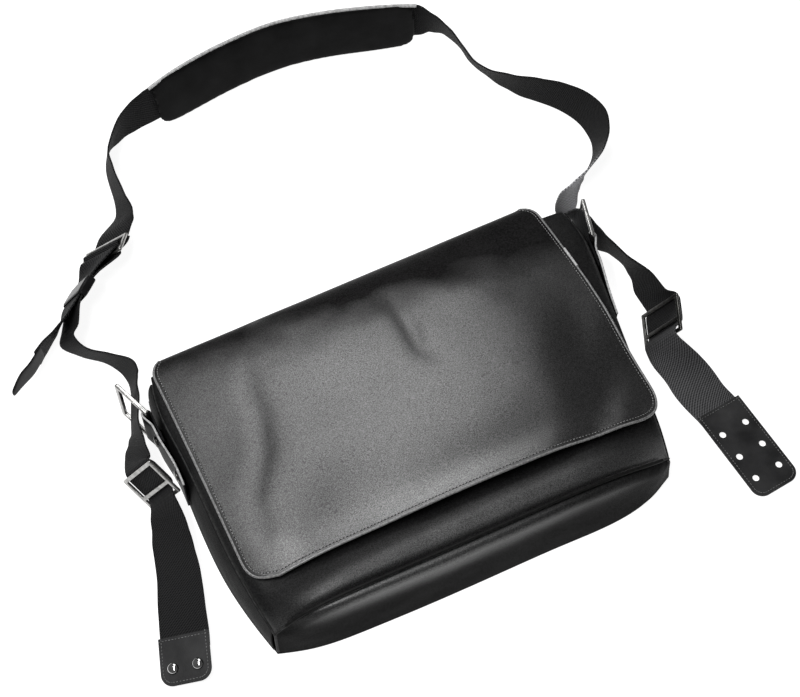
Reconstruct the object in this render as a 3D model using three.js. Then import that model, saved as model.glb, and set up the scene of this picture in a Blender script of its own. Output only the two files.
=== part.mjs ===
// A canvas shoulder bag that lies on its back with its flap up, its straps laid out round it.
// Millimetres, +Z up. +X runs across the bag and +Y from its base to its mouth.
// The origin is on the floor, under the middle of the back panel.

import * as THREE from "three";
import { mergeVertices } from "three/addons/utils/BufferGeometryUtils.js";

const { clamp, degToRad, lerp, smoothstep } = THREE.MathUtils;
const UP = new THREE.Vector3(0, 0, 1);

// Driving dimensions
const GAP = 0.5;
const CANVAS = 2;
const FLAP_WALL = 2.2;
const WEBBING = { width: 48, thick: 1.8 };
const PAD = { width: 66, thick: 8, endReach: 0.045, endWidth: 0.72, rim: 0.45 };
const SIDE_TAB = { width: 46, thick: 2, under: 34, low: { left: 26, right: 16 } };
const RING = { inner: 50, reach: 41, bar: 4.5, thick: 4, bevel: 0.6, corner: 2, foot: 0.8 };
const SLIDER = { inner: 50, bar: 4, thick: 3, bevel: 0.6, corner: 1.5 };
const CROSS_BARS = [-18.5, 6, 18.5];
const BUCKLE_BARS = [-12, 0, 12];
const KEEPER = { long: 22, wall: 2, slot: 6.6, slack: 1.8 };
const HOLE_TAB = { width: 51, long: 102, thick: 2.2, corner: 12, overlap: 14 };
const HOLES = { radius: 3.4, across: 14, rows: [27.5, 55, 81.5] };
const STUD_TAB = { width: 49, long: 46, thick: 2.2, corner: 12, overlap: 14 };
const STUDS = { radius: 5, height: 3, across: 12, row: 30 };
const RIVET = { radius: 4.6, height: 1.8, low: 48 };
const TIP = { width: 46, thick: 3, endReach: 0.34, endWidth: 0.3 };

// Body sections from base to mouth: side walls at the floor and at the front seam,
// and the heights of that seam and of the crown between the two sides
const SECTIONS = [
  { y: -147, backLeft: -209, frontLeft: -208, backRight: 205, frontRight: 198, seam: 47, crown: 88 },
  { y: -120, backLeft: -216, frontLeft: -214, backRight: 210, frontRight: 203, seam: 60, crown: 92 },
  { y: -60, backLeft: -226, frontLeft: -219, backRight: 216, frontRight: 211, seam: 67, crown: 94 },
  { y: 0, backLeft: -227, frontLeft: -219, backRight: 225, frontRight: 222, seam: 67, crown: 92 },
  { y: 50, backLeft: -225, frontLeft: -219, backRight: 235, frontRight: 232, seam: 64, crown: 85 },
  { y: 110, backLeft: -226, frontLeft: -221, backRight: 246, frontRight: 243, seam: 59, crown: 74 },
  { y: 150, backLeft: -221, frontLeft: -214, backRight: 250, frontRight: 240, seam: 55, crown: 66 },
];

// How sharply the crown falls to each side, as a power of the way out to the seam
const SIDE_FALL = [
  { y: -147, left: 10, right: 5 },
  { y: -120, left: 6, right: 5 },
  { y: -60, left: 4, right: 4 },
  { y: 0, left: 4, right: 4 },
  { y: 150, left: 4, right: 4 },
];

// Plan of the base wall from its left end to its right end, at the floor and at the front seam
const BASE_PLAN = [
  { x: -209, foot: -145, seam: -144 },
  { x: -178, foot: -155, seam: -148 },
  { x: -110, foot: -160, seam: -150 },
  { x: 60, foot: -162, seam: -151 },
  { x: 160, foot: -161, seam: -150 },
  { x: 190, foot: -152, seam: -147 },
  { x: 205, foot: -143, seam: -143 },
];
const BASE_BULGE = 4;
const GUSSET_BULGE = 2;
const MOUTH = { front: 147, back: 152, cornerDrop: 7 };

// The flap: its sides, its lower edge, and the fold that wraps the mouth from the back panel
const FLAP = { left: -211, right: 211, corner: 26, lift: 1.8 };
const FLAP_HEM = { left: -106, right: -111 };
const FLAP_FOLD = [
  { out: 0.8, z: 2 },
  { out: 8, z: 5 },
  { out: 14, z: 22 },
  { out: 13.5, z: 42 },
  { out: 8, z: 57 },
];
const FOLD_SKEW = 0.018;
const FLAP_FRONT_ROWS = [
  138, 128, 116, 104, 92, 79, 66, 52, 38, 24, 10, -4, -18, -32, -46, -60, -74, -87, -98,
];

// Dents and swells of the flap, each a soft ellipse in plan, turned from X; the front gives way below
const DENTS = [
  { x: -61, y: 115, long: 42, wide: 20, turn: 6, height: -2.1 },
  { x: -60, y: 137, long: 104, wide: 14, turn: 0, height: -2.6 },
  { x: -144, y: 151, long: 74, wide: 41, turn: 27, height: -2.7 },
  { x: 34, y: 119, long: 30, wide: 24, turn: 9, height: -2 },
  { x: 149, y: 154, long: 19, wide: 68, turn: -81, height: -6.5 },
  { x: 164, y: -25, long: 21, wide: 52, turn: -22, height: -6 },
  { x: 158, y: -80, long: 19, wide: 70, turn: -44, height: -8.7 },
  { x: 132, y: 74, long: 125, wide: 59, turn: -39, height: 4.3 },
  { x: -66, y: 18, long: 69, wide: 64, turn: 86, height: -6.5 },
  { x: -164, y: 39, long: 45, wide: 70, turn: -14, height: -4.8 },
  { x: -217, y: 45, long: 22, wide: 70, turn: 1, height: 2.3 },
  { x: -175, y: -114, long: 100, wide: 26, turn: 29, height: -2.6 },
  { x: -104, y: -75, long: 55, wide: 34, turn: -31, height: -5.1 },
  { x: 47, y: -56, long: 44, wide: 27, turn: -2, height: 1.6 },
  { x: -16, y: -118, long: 130, wide: 16, turn: 4, height: 4.5 },
  { x: 165, y: -75, long: 124, wide: 59, turn: -38, height: 4.4 },
  { x: 212, y: 25, long: 20, wide: 70, turn: 1, height: 4.6 },
  { x: 129, y: 98, long: 29, wide: 20, turn: 3, height: 2 },
  { x: 138, y: 100, long: 28, wide: 60, turn: 22, height: -3 },
];
const GIVE = { depth: 9, from: -120, to: -72, sides: 0.85 };

// Side rings stand upright: the bar held by the tab, and the heading from it to the far bar
const RINGS = {
  left: { x: -232, y: 111, heading: 111 },
  right: { x: 252, y: 107, heading: 75 },
};

// Plates on the straps: middle, heading along the strap, pitch of that heading, lean across it
const BUCKLE = { x: -201, y: 321.5, z: 26, heading: 237, pitch: 18, lean: 142 };
const CROSS_SLIDERS = {
  left: { x: -254, y: 47, z: 36, heading: 297, pitch: -28, lean: 107 },
  right: { x: 275, y: -1, z: 29, heading: 247, pitch: -5, lean: 120 },
};
const KEEPER_PLACE = { x: -241, y: 285, z: 27, heading: 222, pitch: 0, lean: 120 };

// Strap routes: the lower edge in plan, its height, and the way from there to the upper edge
const FREE_END = [
  { x: -296, y: 247, lift: 0.6, toX: 1, toY: -5 },
  { x: -280, y: 262, lift: 0.6, toX: 4, toY: -10 },
  { x: -270, y: 274, lift: 1, toX: 9, toY: -14 },
];
const TIP_ROUTE = [
  { x: -341, y: 216, lift: -14.5, toX: 2, toY: -2 },
  { x: -327, y: 223, lift: 0.6, toX: 3, toY: -4 },
  { x: -313, y: 231, lift: 0.6, toX: 2, toY: -4 },
  { x: -296.5, y: 246.5, lift: 0.6, toX: 1, toY: -5 },
];
const LEFT_LOOP = [
  { x: -272, y: 263, lift: 0.6, toX: 17, toY: -20 },
  { x: -278, y: 250, lift: 0.6, toX: 14, toY: -19 },
  { x: -264, y: 231, lift: 0.6, toX: 7, toY: -21 },
  { x: -245, y: 214, lift: 0.6, toX: 7, toY: -20 },
  { x: -234, y: 196, lift: 0.6, toX: 12, toY: -17 },
  { x: -230, y: 178, lift: 1.5, toX: 9, toY: -12 },
  { x: -230, y: 163, lift: 4, toX: 4, toY: -6 },
  { x: -232, y: 147, lift: 6.2, toX: 0, toY: 0 },
  { x: -236, y: 134, lift: 6.2, toX: -1, toY: 0 },
  { x: -245, y: 122, lift: 8, toX: 3, toY: -12 },
  { x: -256, y: 110, lift: 13, toX: 12, toY: -25 },
  { x: -264, y: 96, lift: 19, toX: 19, toY: -28 },
];
const LEFT_CROSS = [
  { x: -263, y: 24, lift: 2, toX: 25, toY: -25 },
  { x: -270, y: 4, lift: 0.6, toX: 30, toY: -25 },
  { x: -282, y: -26, lift: 0.6, toX: 38, toY: -21 },
  { x: -294, y: -60, lift: 0.6, toX: 42, toY: -17 },
  { x: -303, y: -88, lift: 0.6, toX: 44, toY: -15 },
  { x: -307, y: -100, lift: 0.6, toX: 44, toY: -15 },
];
const LEFT_RUN = [
  { x: -198, y: 351, lift: 6, toX: 35, toY: -15 },
  { x: -171, y: 374, lift: 0.6, toX: 14, toY: -26 },
  { x: -164, y: 400, lift: 0.6, toX: 7, toY: -26 },
  { x: -160, y: 430, lift: 0.6, toX: 4, toY: -24 },
  { x: -149, y: 456, lift: 0.6, toX: -2, toY: -23 },
  { x: -129, y: 468, lift: 1, toX: 5, toY: -4 },
  { x: -108, y: 472, lift: 3, toX: 6, toY: 4 },
];
const PAD_ROUTE = [
  { x: -84, y: 464, lift: 0.6, toX: -4, toY: 8 },
  { x: -41, y: 471, lift: 0.6, toX: -2, toY: 12 },
  { x: 7, y: 479, lift: 0.6, toX: -1, toY: 12 },
  { x: 65, y: 483, lift: 0.6, toX: -1, toY: 11 },
  { x: 118, y: 476, lift: 0.6, toX: -1, toY: 9 },
  { x: 170, y: 462, lift: 0.6, toX: -1, toY: 8 },
  { x: 222, y: 449, lift: 0.6, toX: -2, toY: 4 },
];
const RIGHT_RUN = [
  { x: 241, y: 456, lift: 5, toX: -5, toY: -14 },
  { x: 254, y: 448, lift: 2, toX: -8, toY: -24 },
  { x: 262, y: 424, lift: 0.6, toX: -12, toY: -26 },
  { x: 263, y: 401, lift: 0.6, toX: -11, toY: -27 },
  { x: 269, y: 381, lift: 0.6, toX: -9, toY: -26 },
  { x: 280, y: 354, lift: 0.6, toX: -2, toY: -20 },
  { x: 294, y: 331, lift: 0.6, toX: 8, toY: -15 },
  { x: 311, y: 312, lift: 0.6, toX: 12, toY: -13 },
  { x: 326, y: 289, lift: 0.6, toX: 14, toY: -12 },
  { x: 333, y: 264, lift: 0.6, toX: 14, toY: -13 },
  { x: 330, y: 238, lift: 0.6, toX: 8, toY: -13 },
  { x: 319, y: 221, lift: 0.6, toX: 1, toY: -17 },
  { x: 305, y: 210, lift: 0.6, toX: -9, toY: -20 },
  { x: 297, y: 202, lift: 0.6, toX: -25, toY: -19 },
  { x: 288, y: 193, lift: 0.6, toX: -33, toY: -14 },
  { x: 279, y: 180, lift: 1.5, toX: -35, toY: -12 },
  { x: 266, y: 162, lift: 4, toX: -16, toY: -8 },
  { x: 258, y: 144, lift: 6.2, toX: -2, toY: -2 },
  { x: 261, y: 130, lift: 6.2, toX: 0, toY: 0 },
  { x: 269, y: 118, lift: 4, toX: -5, toY: -2 },
  { x: 279, y: 108, lift: 2, toX: -11, toY: -7 },
  { x: 285, y: 93, lift: 1, toX: -9, toY: -17 },
  { x: 284, y: 73, lift: 3, toX: 6, toY: -27 },
  { x: 277, y: 50, lift: 6, toX: 14, toY: -25 },
];
const RIGHT_CROSS = [
  { x: 259, y: -21, lift: 4, toX: 30, toY: -20 },
  { x: 256, y: -45, lift: 1, toX: 41, toY: -18 },
  { x: 256, y: -74, lift: 0.6, toX: 47, toY: -7 },
  { x: 262, y: -103, lift: 0.6, toX: 48, toY: 5 },
  { x: 264, y: -115, lift: 0.6, toX: 48, toY: 5 },
];

// Tables read between their rows by smooth curves
class Table {
  constructor(rows, key) {
    this.columns = Object.keys(rows[0]);
    const keys = rows.map((row) => row[key]);
    const values = rows.flatMap((row) => this.columns.map((column) => row[column]));
    this.curve = new THREE.CubicInterpolant(keys, values, this.columns.length);
  }

  at(value) {
    const row = this.curve.evaluate(value);
    return Object.fromEntries(this.columns.map((column, index) => [column, row[index]]));
  }
}

const sections = new Table(SECTIONS, "y");
const sideFall = new Table(SIDE_FALL, "y");
const basePlan = new Table(BASE_PLAN, "x");
const baseAt = (u) => basePlan.at(lerp(BASE_PLAN[0].x, BASE_PLAN.at(-1).x, u));

// Closed bodies, faces outward
function closed(geometry) {
  geometry.deleteAttribute("normal");
  geometry.deleteAttribute("uv");
  const body = mergeVertices(geometry, 1e-4);
  const index = body.index.array;
  const corner = [0, 1, 2].map(() => new THREE.Vector3());
  let volume = 0;
  for (let i = 0; i < index.length; i += 3) {
    corner.forEach((point, k) => point.fromBufferAttribute(body.attributes.position, index[i + k]));
    volume += corner[0].dot(corner[1].clone().cross(corner[2]));
  }
  if (volume < 0) {
    for (let i = 0; i < index.length; i += 3) {
      [index[i + 1], index[i + 2]] = [index[i + 2], index[i + 1]];
    }
  }
  body.computeVertexNormals();
  return body;
}

// A box whose front and back faces are split along the same diagonals, so that a thin twisted
// sheet made from it keeps its two faces apart
function sheetBox(columns, rows) {
  const box = new THREE.BoxGeometry(1, 1, 1, columns, rows, 1);
  const { start, count } = box.groups.at(-1);
  const index = box.index.array;
  for (let i = start; i < start + count; i += 6) {
    const [a, b, d, , c] = index.slice(i, i + 5);
    index.set([a, b, c, a, c, d], i);
  }
  return box;
}

// A wall of even thickness: point(u, v) is its outer face and inward(u, v) the way to the inner
function wall(point, inward, thick, columns, rows) {
  const box = sheetBox(columns, rows);
  const position = box.attributes.position;
  for (let i = 0; i < position.count; i += 1) {
    const u = position.getX(i) + 0.5;
    const v = position.getY(i) + 0.5;
    const at = point(u, v);
    if (position.getZ(i) < 0) {
      at.addScaledVector(inward(u, v), thick);
    }
    position.setXYZ(i, at.x, at.y, at.z);
  }
  return closed(box);
}

// Stations of a strap: a point on its middle line, and the direction across it
function stations(rows, width, thick = WEBBING.thick) {
  return rows.map((row) => {
    const across = new THREE.Vector3(row.toX, row.toY, 0).clampLength(0, width);
    const flat = across.length() / width;
    across.z = width * Math.sqrt(1 - flat ** 2);
    const at = new THREE.Vector3(row.x, row.y, row.lift + (thick / 2) * flat);
    return { at: at.addScaledVector(across, 0.5), across: across.normalize() };
  });
}

// A band swept along stations; taper(u, v) gives the share of its width and of its thickness
function band(route, width, thick, stepsPerStation, columns = 1, taper = () => [1, 1]) {
  const middle = new THREE.CatmullRomCurve3(route.map((row) => row.at));
  const across = new THREE.CatmullRomCurve3(route.map((row) => row.across), false, "catmullrom", 0.1);
  const steps = (route.length - 1) * stepsPerStation;
  const box = sheetBox(columns, steps);
  const position = box.attributes.position;
  for (let i = 0; i < position.count; i += 1) {
    const u = position.getX(i);
    const v = position.getY(i) + 0.5;
    const side = across.getPoint(v).normalize();
    const face = new THREE.Vector3().crossVectors(middle.getTangent(v), side).normalize();
    const [wide, deep] = taper(u + 0.5, v);
    const at = middle.getPoint(v);
    at.addScaledVector(side, u * width * wide);
    at.addScaledVector(face, position.getZ(i) * thick * deep);
    position.setXYZ(i, at.x, at.y, at.z);
  }
  return closed(box);
}

// The local frame of a plate: across the strap, along it, and out of the plate's upper face
function plateFrame({ x, y, z, heading, pitch, lean }) {
  const [turn, rise, roll] = [heading, pitch, lean].map(degToRad);
  const along = new THREE.Vector3(Math.cos(turn), Math.sin(turn), 0).multiplyScalar(Math.cos(rise));
  along.z = Math.sin(rise);
  const right = new THREE.Vector3(Math.sin(turn), -Math.cos(turn), 0);
  const above = new THREE.Vector3().crossVectors(right, along);
  const across = right.multiplyScalar(Math.cos(roll)).addScaledVector(above, Math.sin(roll));
  const out = new THREE.Vector3().crossVectors(along, across);
  return { origin: new THREE.Vector3(x, y, z), across, along, out };
}

function stationOn(frame, s, n) {
  const at = frame.origin.clone().addScaledVector(frame.along, s).addScaledVector(frame.out, n);
  return { at, across: frame.across };
}

function place(mesh, origin, xAxis, yAxis, zAxis) {
  mesh.quaternion.setFromRotationMatrix(new THREE.Matrix4().makeBasis(xAxis, yAxis, zAxis));
  mesh.position.copy(origin);
  return mesh;
}

function placePlate(mesh, { origin, across, along, out }) {
  return place(mesh, origin, across, along.clone().negate(), out);
}

// Flat outlines and plates
function roundedRectangle(path, halfX, halfY, radius) {
  path.moveTo(-halfX + radius, -halfY);
  path.lineTo(halfX - radius, -halfY);
  path.absarc(halfX - radius, -halfY + radius, radius, -Math.PI / 2, 0);
  path.lineTo(halfX, halfY - radius);
  path.absarc(halfX - radius, halfY - radius, radius, 0, Math.PI / 2);
  path.lineTo(-halfX + radius, halfY);
  path.absarc(-halfX + radius, halfY - radius, radius, Math.PI / 2, Math.PI);
  path.lineTo(-halfX, -halfY + radius);
  path.absarc(-halfX + radius, -halfY + radius, radius, Math.PI, 1.5 * Math.PI);
  return path;
}

function plate(shape, thick, bevel, curveSegments) {
  const depth = thick - 2 * bevel;
  const geometry = new THREE.ExtrudeGeometry(shape, {
    depth,
    bevelEnabled: bevel > 0,
    bevelSize: bevel,
    bevelThickness: bevel,
    bevelOffset: -bevel,
    bevelSegments: 1,
    curveSegments,
  });
  geometry.translate(0, 0, -depth / 2);
  return closed(geometry);
}

// Height of the front of the bag: a crown that falls to the side seams
function sideReach(x, y) {
  const row = sections.at(y);
  const fall = sideFall.at(y);
  const reach = Math.min(x < 0 ? x / row.frontLeft : x / row.frontRight, 1);
  return reach ** (x < 0 ? fall.left : fall.right);
}

function frontHeight(x, y) {
  const row = sections.at(y);
  return lerp(row.crown, row.seam, sideReach(x, y));
}

function dentHeight(x, y) {
  return DENTS.reduce((height, dent) => {
    const turn = THREE.MathUtils.degToRad(dent.turn);
    const along = (x - dent.x) * Math.cos(turn) + (y - dent.y) * Math.sin(turn);
    const across = (y - dent.y) * Math.cos(turn) - (x - dent.x) * Math.sin(turn);
    return height + dent.height * Math.exp(-((along / dent.long) ** 2) - (across / dent.wide) ** 2);
  }, 0);
}

function giveDepth(x, y) {
  return GIVE.depth * smoothstep(y, GIVE.from, GIVE.to) * (1 - smoothstep(sideReach(x, y), 0, GIVE.sides));
}

// Body panels
function frontPoint(u, v) {
  const y = lerp(baseAt(u).seam, MOUTH.front, v);
  const row = sections.at(y);
  const x = lerp(row.frontLeft, row.frontRight, u);
  return new THREE.Vector3(x, y, frontHeight(x, y) - giveDepth(x, y));
}

function frontPanel() {
  const down = UP.clone().negate();
  return wall(frontPoint, () => down, CANVAS, 20, 12);
}

function backPanel() {
  const point = (u, v) => {
    const y = lerp(baseAt(u).foot, MOUTH.back, v);
    const row = sections.at(clamp(y, SECTIONS[0].y, SECTIONS.at(-1).y));
    return new THREE.Vector3(lerp(row.backLeft, row.backRight, u), y, 0);
  };
  return wall(point, () => UP, CANVAS, 16, 8);
}

function basePanel() {
  const point = (u, v) => {
    const plan = baseAt(u);
    const top = frontPoint(u, 0);
    const bulge = BASE_BULGE * Math.sin(Math.PI * v) * Math.sin(Math.PI * u);
    const y = lerp(plan.foot, plan.seam + GAP, v) - bulge;
    return new THREE.Vector3(lerp(plan.x, top.x, v), y, lerp(CANVAS + GAP, top.z - CANVAS - GAP, v));
  };
  const inward = new THREE.Vector3(0, 1, 0);
  return wall(point, () => inward, CANVAS, 20, 4);
}

function gussetX(side, y, height) {
  const row = sections.at(y);
  const share = clamp(height / row.seam, 0, 1);
  const left = side === "left";
  const [foot, head] = left ? [row.backLeft, row.frontLeft] : [row.backRight, row.frontRight];
  return lerp(foot, head, share) + GUSSET_BULGE * Math.sin(Math.PI * share) * (left ? -1 : 1);
}

function gusset(side) {
  const ends = BASE_PLAN.filter((row, index) => index % (BASE_PLAN.length - 1) === 0);
  const start = Math.max(...ends.flatMap((row) => [row.foot, row.seam])) + CANVAS + 2 * GAP;
  const point = (u, v) => {
    const y = lerp(start, MOUTH.front - MOUTH.cornerDrop * v ** 4, u);
    const z = lerp(CANVAS + GAP, sections.at(y).seam - CANVAS - 2.5 * GAP, v);
    return new THREE.Vector3(gussetX(side, y, z), y, z);
  };
  const inward = new THREE.Vector3(side === "left" ? 1 : -1, 0, 0);
  return wall(point, () => inward, CANVAS, 12, 4);
}

// Flap: each column is one curve from the back panel round the mouth and down the front
function flapColumn(x) {
  const share = (x - FLAP.left) / (FLAP.right - FLAP.left);
  const round = FLAP_FOLD.map((row, index) => {
    const skew = index > 0 ? FOLD_SKEW * (x - FLAP.left) : 0;
    return new THREE.Vector3(x, MOUTH.back + row.out + skew, row.z);
  });
  const front = [...FLAP_FRONT_ROWS, lerp(FLAP_HEM.left, FLAP_HEM.right, share)].map((y) => {
    return new THREE.Vector3(x, y, frontHeight(x, y) + dentHeight(x, y) + FLAP.lift + FLAP_WALL);
  });
  return new THREE.CatmullRomCurve3([...round, ...front]);
}

function flap() {
  const half = (FLAP.right - FLAP.left) / 2;
  const middle = (FLAP.right + FLAP.left) / 2;
  const length = flapColumn(middle).getLength();
  const point = (u, v) => {
    const along = 1 - (1 - v) ** 1.25;
    const toHem = Math.min((1 - along) * length, FLAP.corner);
    const cut = FLAP.corner - Math.sqrt(FLAP.corner ** 2 - (FLAP.corner - toHem) ** 2);
    return flapColumn(middle + (2 * u - 1) * (half - cut)).getPointAt(along);
  };
  const step = 1e-3;
  const inward = (u, v) => {
    const alongU = point(Math.min(u + step, 1), v).sub(point(Math.max(u - step, 0), v));
    const alongV = point(u, Math.min(v + step, 1)).sub(point(u, Math.max(v - step, 0)));
    return alongU.cross(alongV).normalize();
  };
  return wall(point, inward, FLAP_WALL, 24, 26);
}

// Hardware
function ringGeometry() {
  const halfX = RING.inner / 2 + RING.bar;
  const halfY = RING.reach / 2 + RING.bar / 2;
  const shape = roundedRectangle(new THREE.Shape(), halfX, halfY, RING.corner);
  shape.holes.push(roundedRectangle(new THREE.Path(), halfX - RING.bar, halfY - RING.bar, 1));
  return plate(shape, RING.thick, RING.bevel, 2);
}

function sliderGeometry(bars) {
  const halfX = SLIDER.inner / 2;
  const halfY = bars.at(-1) + SLIDER.bar / 2;
  const shape = roundedRectangle(new THREE.Shape(), halfX + SLIDER.bar, halfY, SLIDER.corner);
  bars.slice(1).forEach((bar, index) => {
    const low = -bar + SLIDER.bar / 2;
    const high = -bars[index] - SLIDER.bar / 2;
    const corners = [[-halfX, low], [halfX, low], [halfX, high], [-halfX, high]];
    shape.holes.push(new THREE.Path(corners.map(([x, y]) => new THREE.Vector2(x, y))));
  });
  return plate(shape, SLIDER.thick, SLIDER.bevel, 2);
}

function cap(radius, height) {
  const profile = [[0, 0], [1, 0], [1, 0.35], [0.8, 0.8], [0.4, 1], [0, 1]];
  const points = profile.map(([r, h]) => new THREE.Vector2(r * radius, h * height));
  const geometry = new THREE.LatheGeometry(points, 12);
  geometry.rotateX(Math.PI / 2);
  return closed(geometry);
}

// Webbing in a plate: clear of its faces, or folded round one of its bars
const FACE_CLEAR = SLIDER.thick / 2 + 3 * GAP + WEBBING.thick / 2;

function throughSlider(frame) {
  const [first, middle, last] = CROSS_BARS;
  const steps = [
    [first - 4, -FACE_CLEAR],
    [middle - 3, -FACE_CLEAR],
    [middle + 2, -FACE_CLEAR + 0.3],
    [(middle + last) / 2, 0],
    [last - 2, FACE_CLEAR - 0.3],
    [last + 5, FACE_CLEAR],
  ];
  return steps.map(([s, n]) => stationOn(frame, s, n));
}

function roundBar(frame, bar, fromDegrees, toDegrees) {
  const radius = SLIDER.bar / 2 + 2 * GAP + WEBBING.thick / 2 + 0.5;
  return [0, 0.25, 0.5, 0.75, 1].map((part) => {
    const angle = degToRad(lerp(fromDegrees, toDegrees, part));
    return stationOn(frame, bar + radius * Math.cos(angle), radius * Math.sin(angle));
  });
}

// Straps
function behindPad() {
  const reach = PAD.thick / 2 + GAP + WEBBING.thick / 2 + 0.8;
  const route = stations(PAD_ROUTE, PAD.width);
  return route.map(({ at, across }, index) => {
    const before = route[Math.max(index - 1, 0)].at;
    const after = route[Math.min(index + 1, route.length - 1)].at;
    const outward = across.clone().cross(after.clone().sub(before)).normalize();
    return { at: at.clone().addScaledVector(outward, reach), across };
  });
}

function rightStrap() {
  const buckle = plateFrame(BUCKLE);
  const [first, middle] = BUCKLE_BARS;
  const below = FACE_CLEAR + WEBBING.thick + 1.2;
  return [
    stationOn(buckle, first - 8, -below),
    stationOn(buckle, first, -below),
    ...roundBar(buckle, middle, -90, 90),
    stationOn(buckle, first, -FACE_CLEAR),
    ...stations(LEFT_RUN, WEBBING.width),
    ...behindPad(),
    ...stations(RIGHT_RUN, WEBBING.width),
    ...throughSlider(plateFrame(CROSS_SLIDERS.right)),
    ...stations(RIGHT_CROSS, WEBBING.width),
  ];
}

function leftStrap() {
  const buckle = plateFrame(BUCKLE);
  const keeper = plateFrame(KEEPER_PLACE);
  const last = BUCKLE_BARS.at(-1);
  const layer = KEEPER.slot / 4;
  const reach = KEEPER.long / 2 + 4;
  return [
    ...stations(FREE_END, WEBBING.width),
    stationOn(keeper, reach, layer),
    stationOn(keeper, -reach, layer),
    ...roundBar(buckle, last, 90, 270),
    stationOn(keeper, -reach, -layer),
    stationOn(keeper, reach, -layer),
    ...stations(LEFT_LOOP, WEBBING.width),
    ...throughSlider(plateFrame(CROSS_SLIDERS.left)),
    ...stations(LEFT_CROSS, WEBBING.width),
  ];
}

const roundEnd = (share, narrowest) => lerp(narrowest, 1, Math.sqrt(1 - (1 - Math.min(share, 1)) ** 2));

function padTaper(u, v) {
  const end = Math.min(v, 1 - v) / PAD.endReach;
  const rim = lerp(1, PAD.rim, Math.abs(2 * u - 1) ** 4);
  return [roundEnd(end, PAD.endWidth), rim * lerp(PAD.rim, 1, Math.min(end, 1))];
}

function tipTaper(u, v) {
  return [lerp(TIP.endWidth, 1, Math.min(v / TIP.endReach, 1)), 1];
}

// Leather loops and ends
function keeperGeometry() {
  const halfX = WEBBING.width / 2 + KEEPER.slack;
  const halfY = KEEPER.slot / 2;
  const shape = roundedRectangle(new THREE.Shape(), halfX + KEEPER.wall, halfY + KEEPER.wall, halfY);
  shape.holes.push(roundedRectangle(new THREE.Path(), halfX, halfY, halfY * 0.4));
  return plate(shape, KEEPER.long, 0, 3);
}

function endTab(spec, holes) {
  const half = spec.width / 2;
  const low = spec.overlap - spec.long;
  const shape = new THREE.Shape();
  shape.moveTo(-half, spec.overlap);
  shape.lineTo(half, spec.overlap);
  shape.lineTo(half, low + spec.corner);
  shape.absarc(half - spec.corner, low + spec.corner, spec.corner, 0, -Math.PI / 2, true);
  shape.lineTo(-half + spec.corner, low);
  shape.absarc(-half + spec.corner, low + spec.corner, spec.corner, -Math.PI / 2, -Math.PI, true);
  shape.closePath();
  for (const [x, y] of holes) {
    shape.holes.push(new THREE.Path().absarc(x, spec.overlap - y, HOLES.radius, 0, 2 * Math.PI));
  }
  return plate(shape, spec.thick, 0, 8);
}

// A leather end lies on the last of its webbing, tilted as it is, and tips down to the floor
function layEnd(mesh, route, spec) {
  const { at, across } = route.at(-1);
  const top = WEBBING.thick / 2 + 1.6 * GAP + spec.thick / 2;
  const down = UP.clone().cross(across).normalize().negate();
  down.z = -top / (spec.long - spec.overlap);
  down.addScaledVector(across, -down.dot(across)).normalize();
  const out = new THREE.Vector3().crossVectors(across, down.clone().negate());
  return place(mesh, at.clone().addScaledVector(out, top), across, down.negate(), out);
}

// Side tabs: leather up the gusset, round the ring's bar and back down under itself
const RING_MIDDLE = RING.foot + RING.bar + RING.inner / 2;

function tabRoute(side) {
  const ring = RINGS[side];
  const sign = side === "left" ? -1 : 1;
  const tabEdges = [-0.5, -0.25, 0, 0.25, 0.5].map((share) => RING_MIDDLE + share * SIDE_TAB.width);
  const outermost = (y) => sign * Math.max(...tabEdges.map((z) => sign * gussetX(side, y, z)));
  const station = (x, y) => ({ at: new THREE.Vector3(x, y, RING_MIDDLE), across: UP });
  const clear = (y, out) => station(outermost(y) + sign * (out + SIDE_TAB.thick / 2), y);
  const radius = RING.bar / 2 + GAP + SIDE_TAB.thick / 2 + 0.4;
  const over = SIDE_TAB.thick + 2 * GAP;
  const turn = [0, 45, 90, 135, 170].map((degrees) => {
    const angle = degToRad(degrees);
    return station(ring.x + sign * radius * Math.cos(angle), ring.y + radius * Math.sin(angle));
  });
  const low = SIDE_TAB.low[side];
  return [
    clear(low, GAP),
    clear(low + 24, 1.5 * GAP),
    clear(ring.y - SIDE_TAB.under - 8, over - GAP),
    clear(ring.y - SIDE_TAB.under + 8, over + GAP),
    clear(ring.y - 12, over + GAP),
    ...turn,
    clear(ring.y - 14, GAP),
    clear(ring.y - SIDE_TAB.under, GAP),
  ];
}

function placeRivet(mesh, route, sign, y) {
  const outer = new THREE.CatmullRomCurve3(route.slice(0, 6).map((row) => row.at));
  const steps = outer.getPoints(200);
  const index = steps.findIndex((point) => point.y >= y);
  const along = steps[index + 1].clone().sub(steps[index]).normalize();
  const out = new THREE.Vector3().crossVectors(along, UP).multiplyScalar(sign);
  const seat = steps[index].clone().addScaledVector(out, SIDE_TAB.thick / 2 + 1.5 * GAP);
  return place(mesh, seat, new THREE.Vector3().crossVectors(UP, out), UP, out);
}

// Materials
function finish(color, roughness, metalness = 0) {
  return new THREE.MeshStandardMaterial({ color, roughness, metalness });
}

const canvas = () => finish(0x1c1c1d, 0.85);
const flapCanvas = () => finish(0x3a393a, 0.6);
const leather = () => finish(0x161617, 0.45);
const webbing = () => finish(0x1c1c1d, 0.8);
const metal = () => finish(0xb9b8b4, 0.28, 1);

// Assembly
const bag = new THREE.Group();

function add(name, geometry, material) {
  const mesh = new THREE.Mesh(geometry, material);
  mesh.name = name;
  bag.add(mesh);
  return mesh;
}

add("back_panel", backPanel(), canvas());
add("front_panel", frontPanel(), canvas());
add("base_panel", basePanel(), canvas());
add("flap", flap(), flapCanvas());

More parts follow.
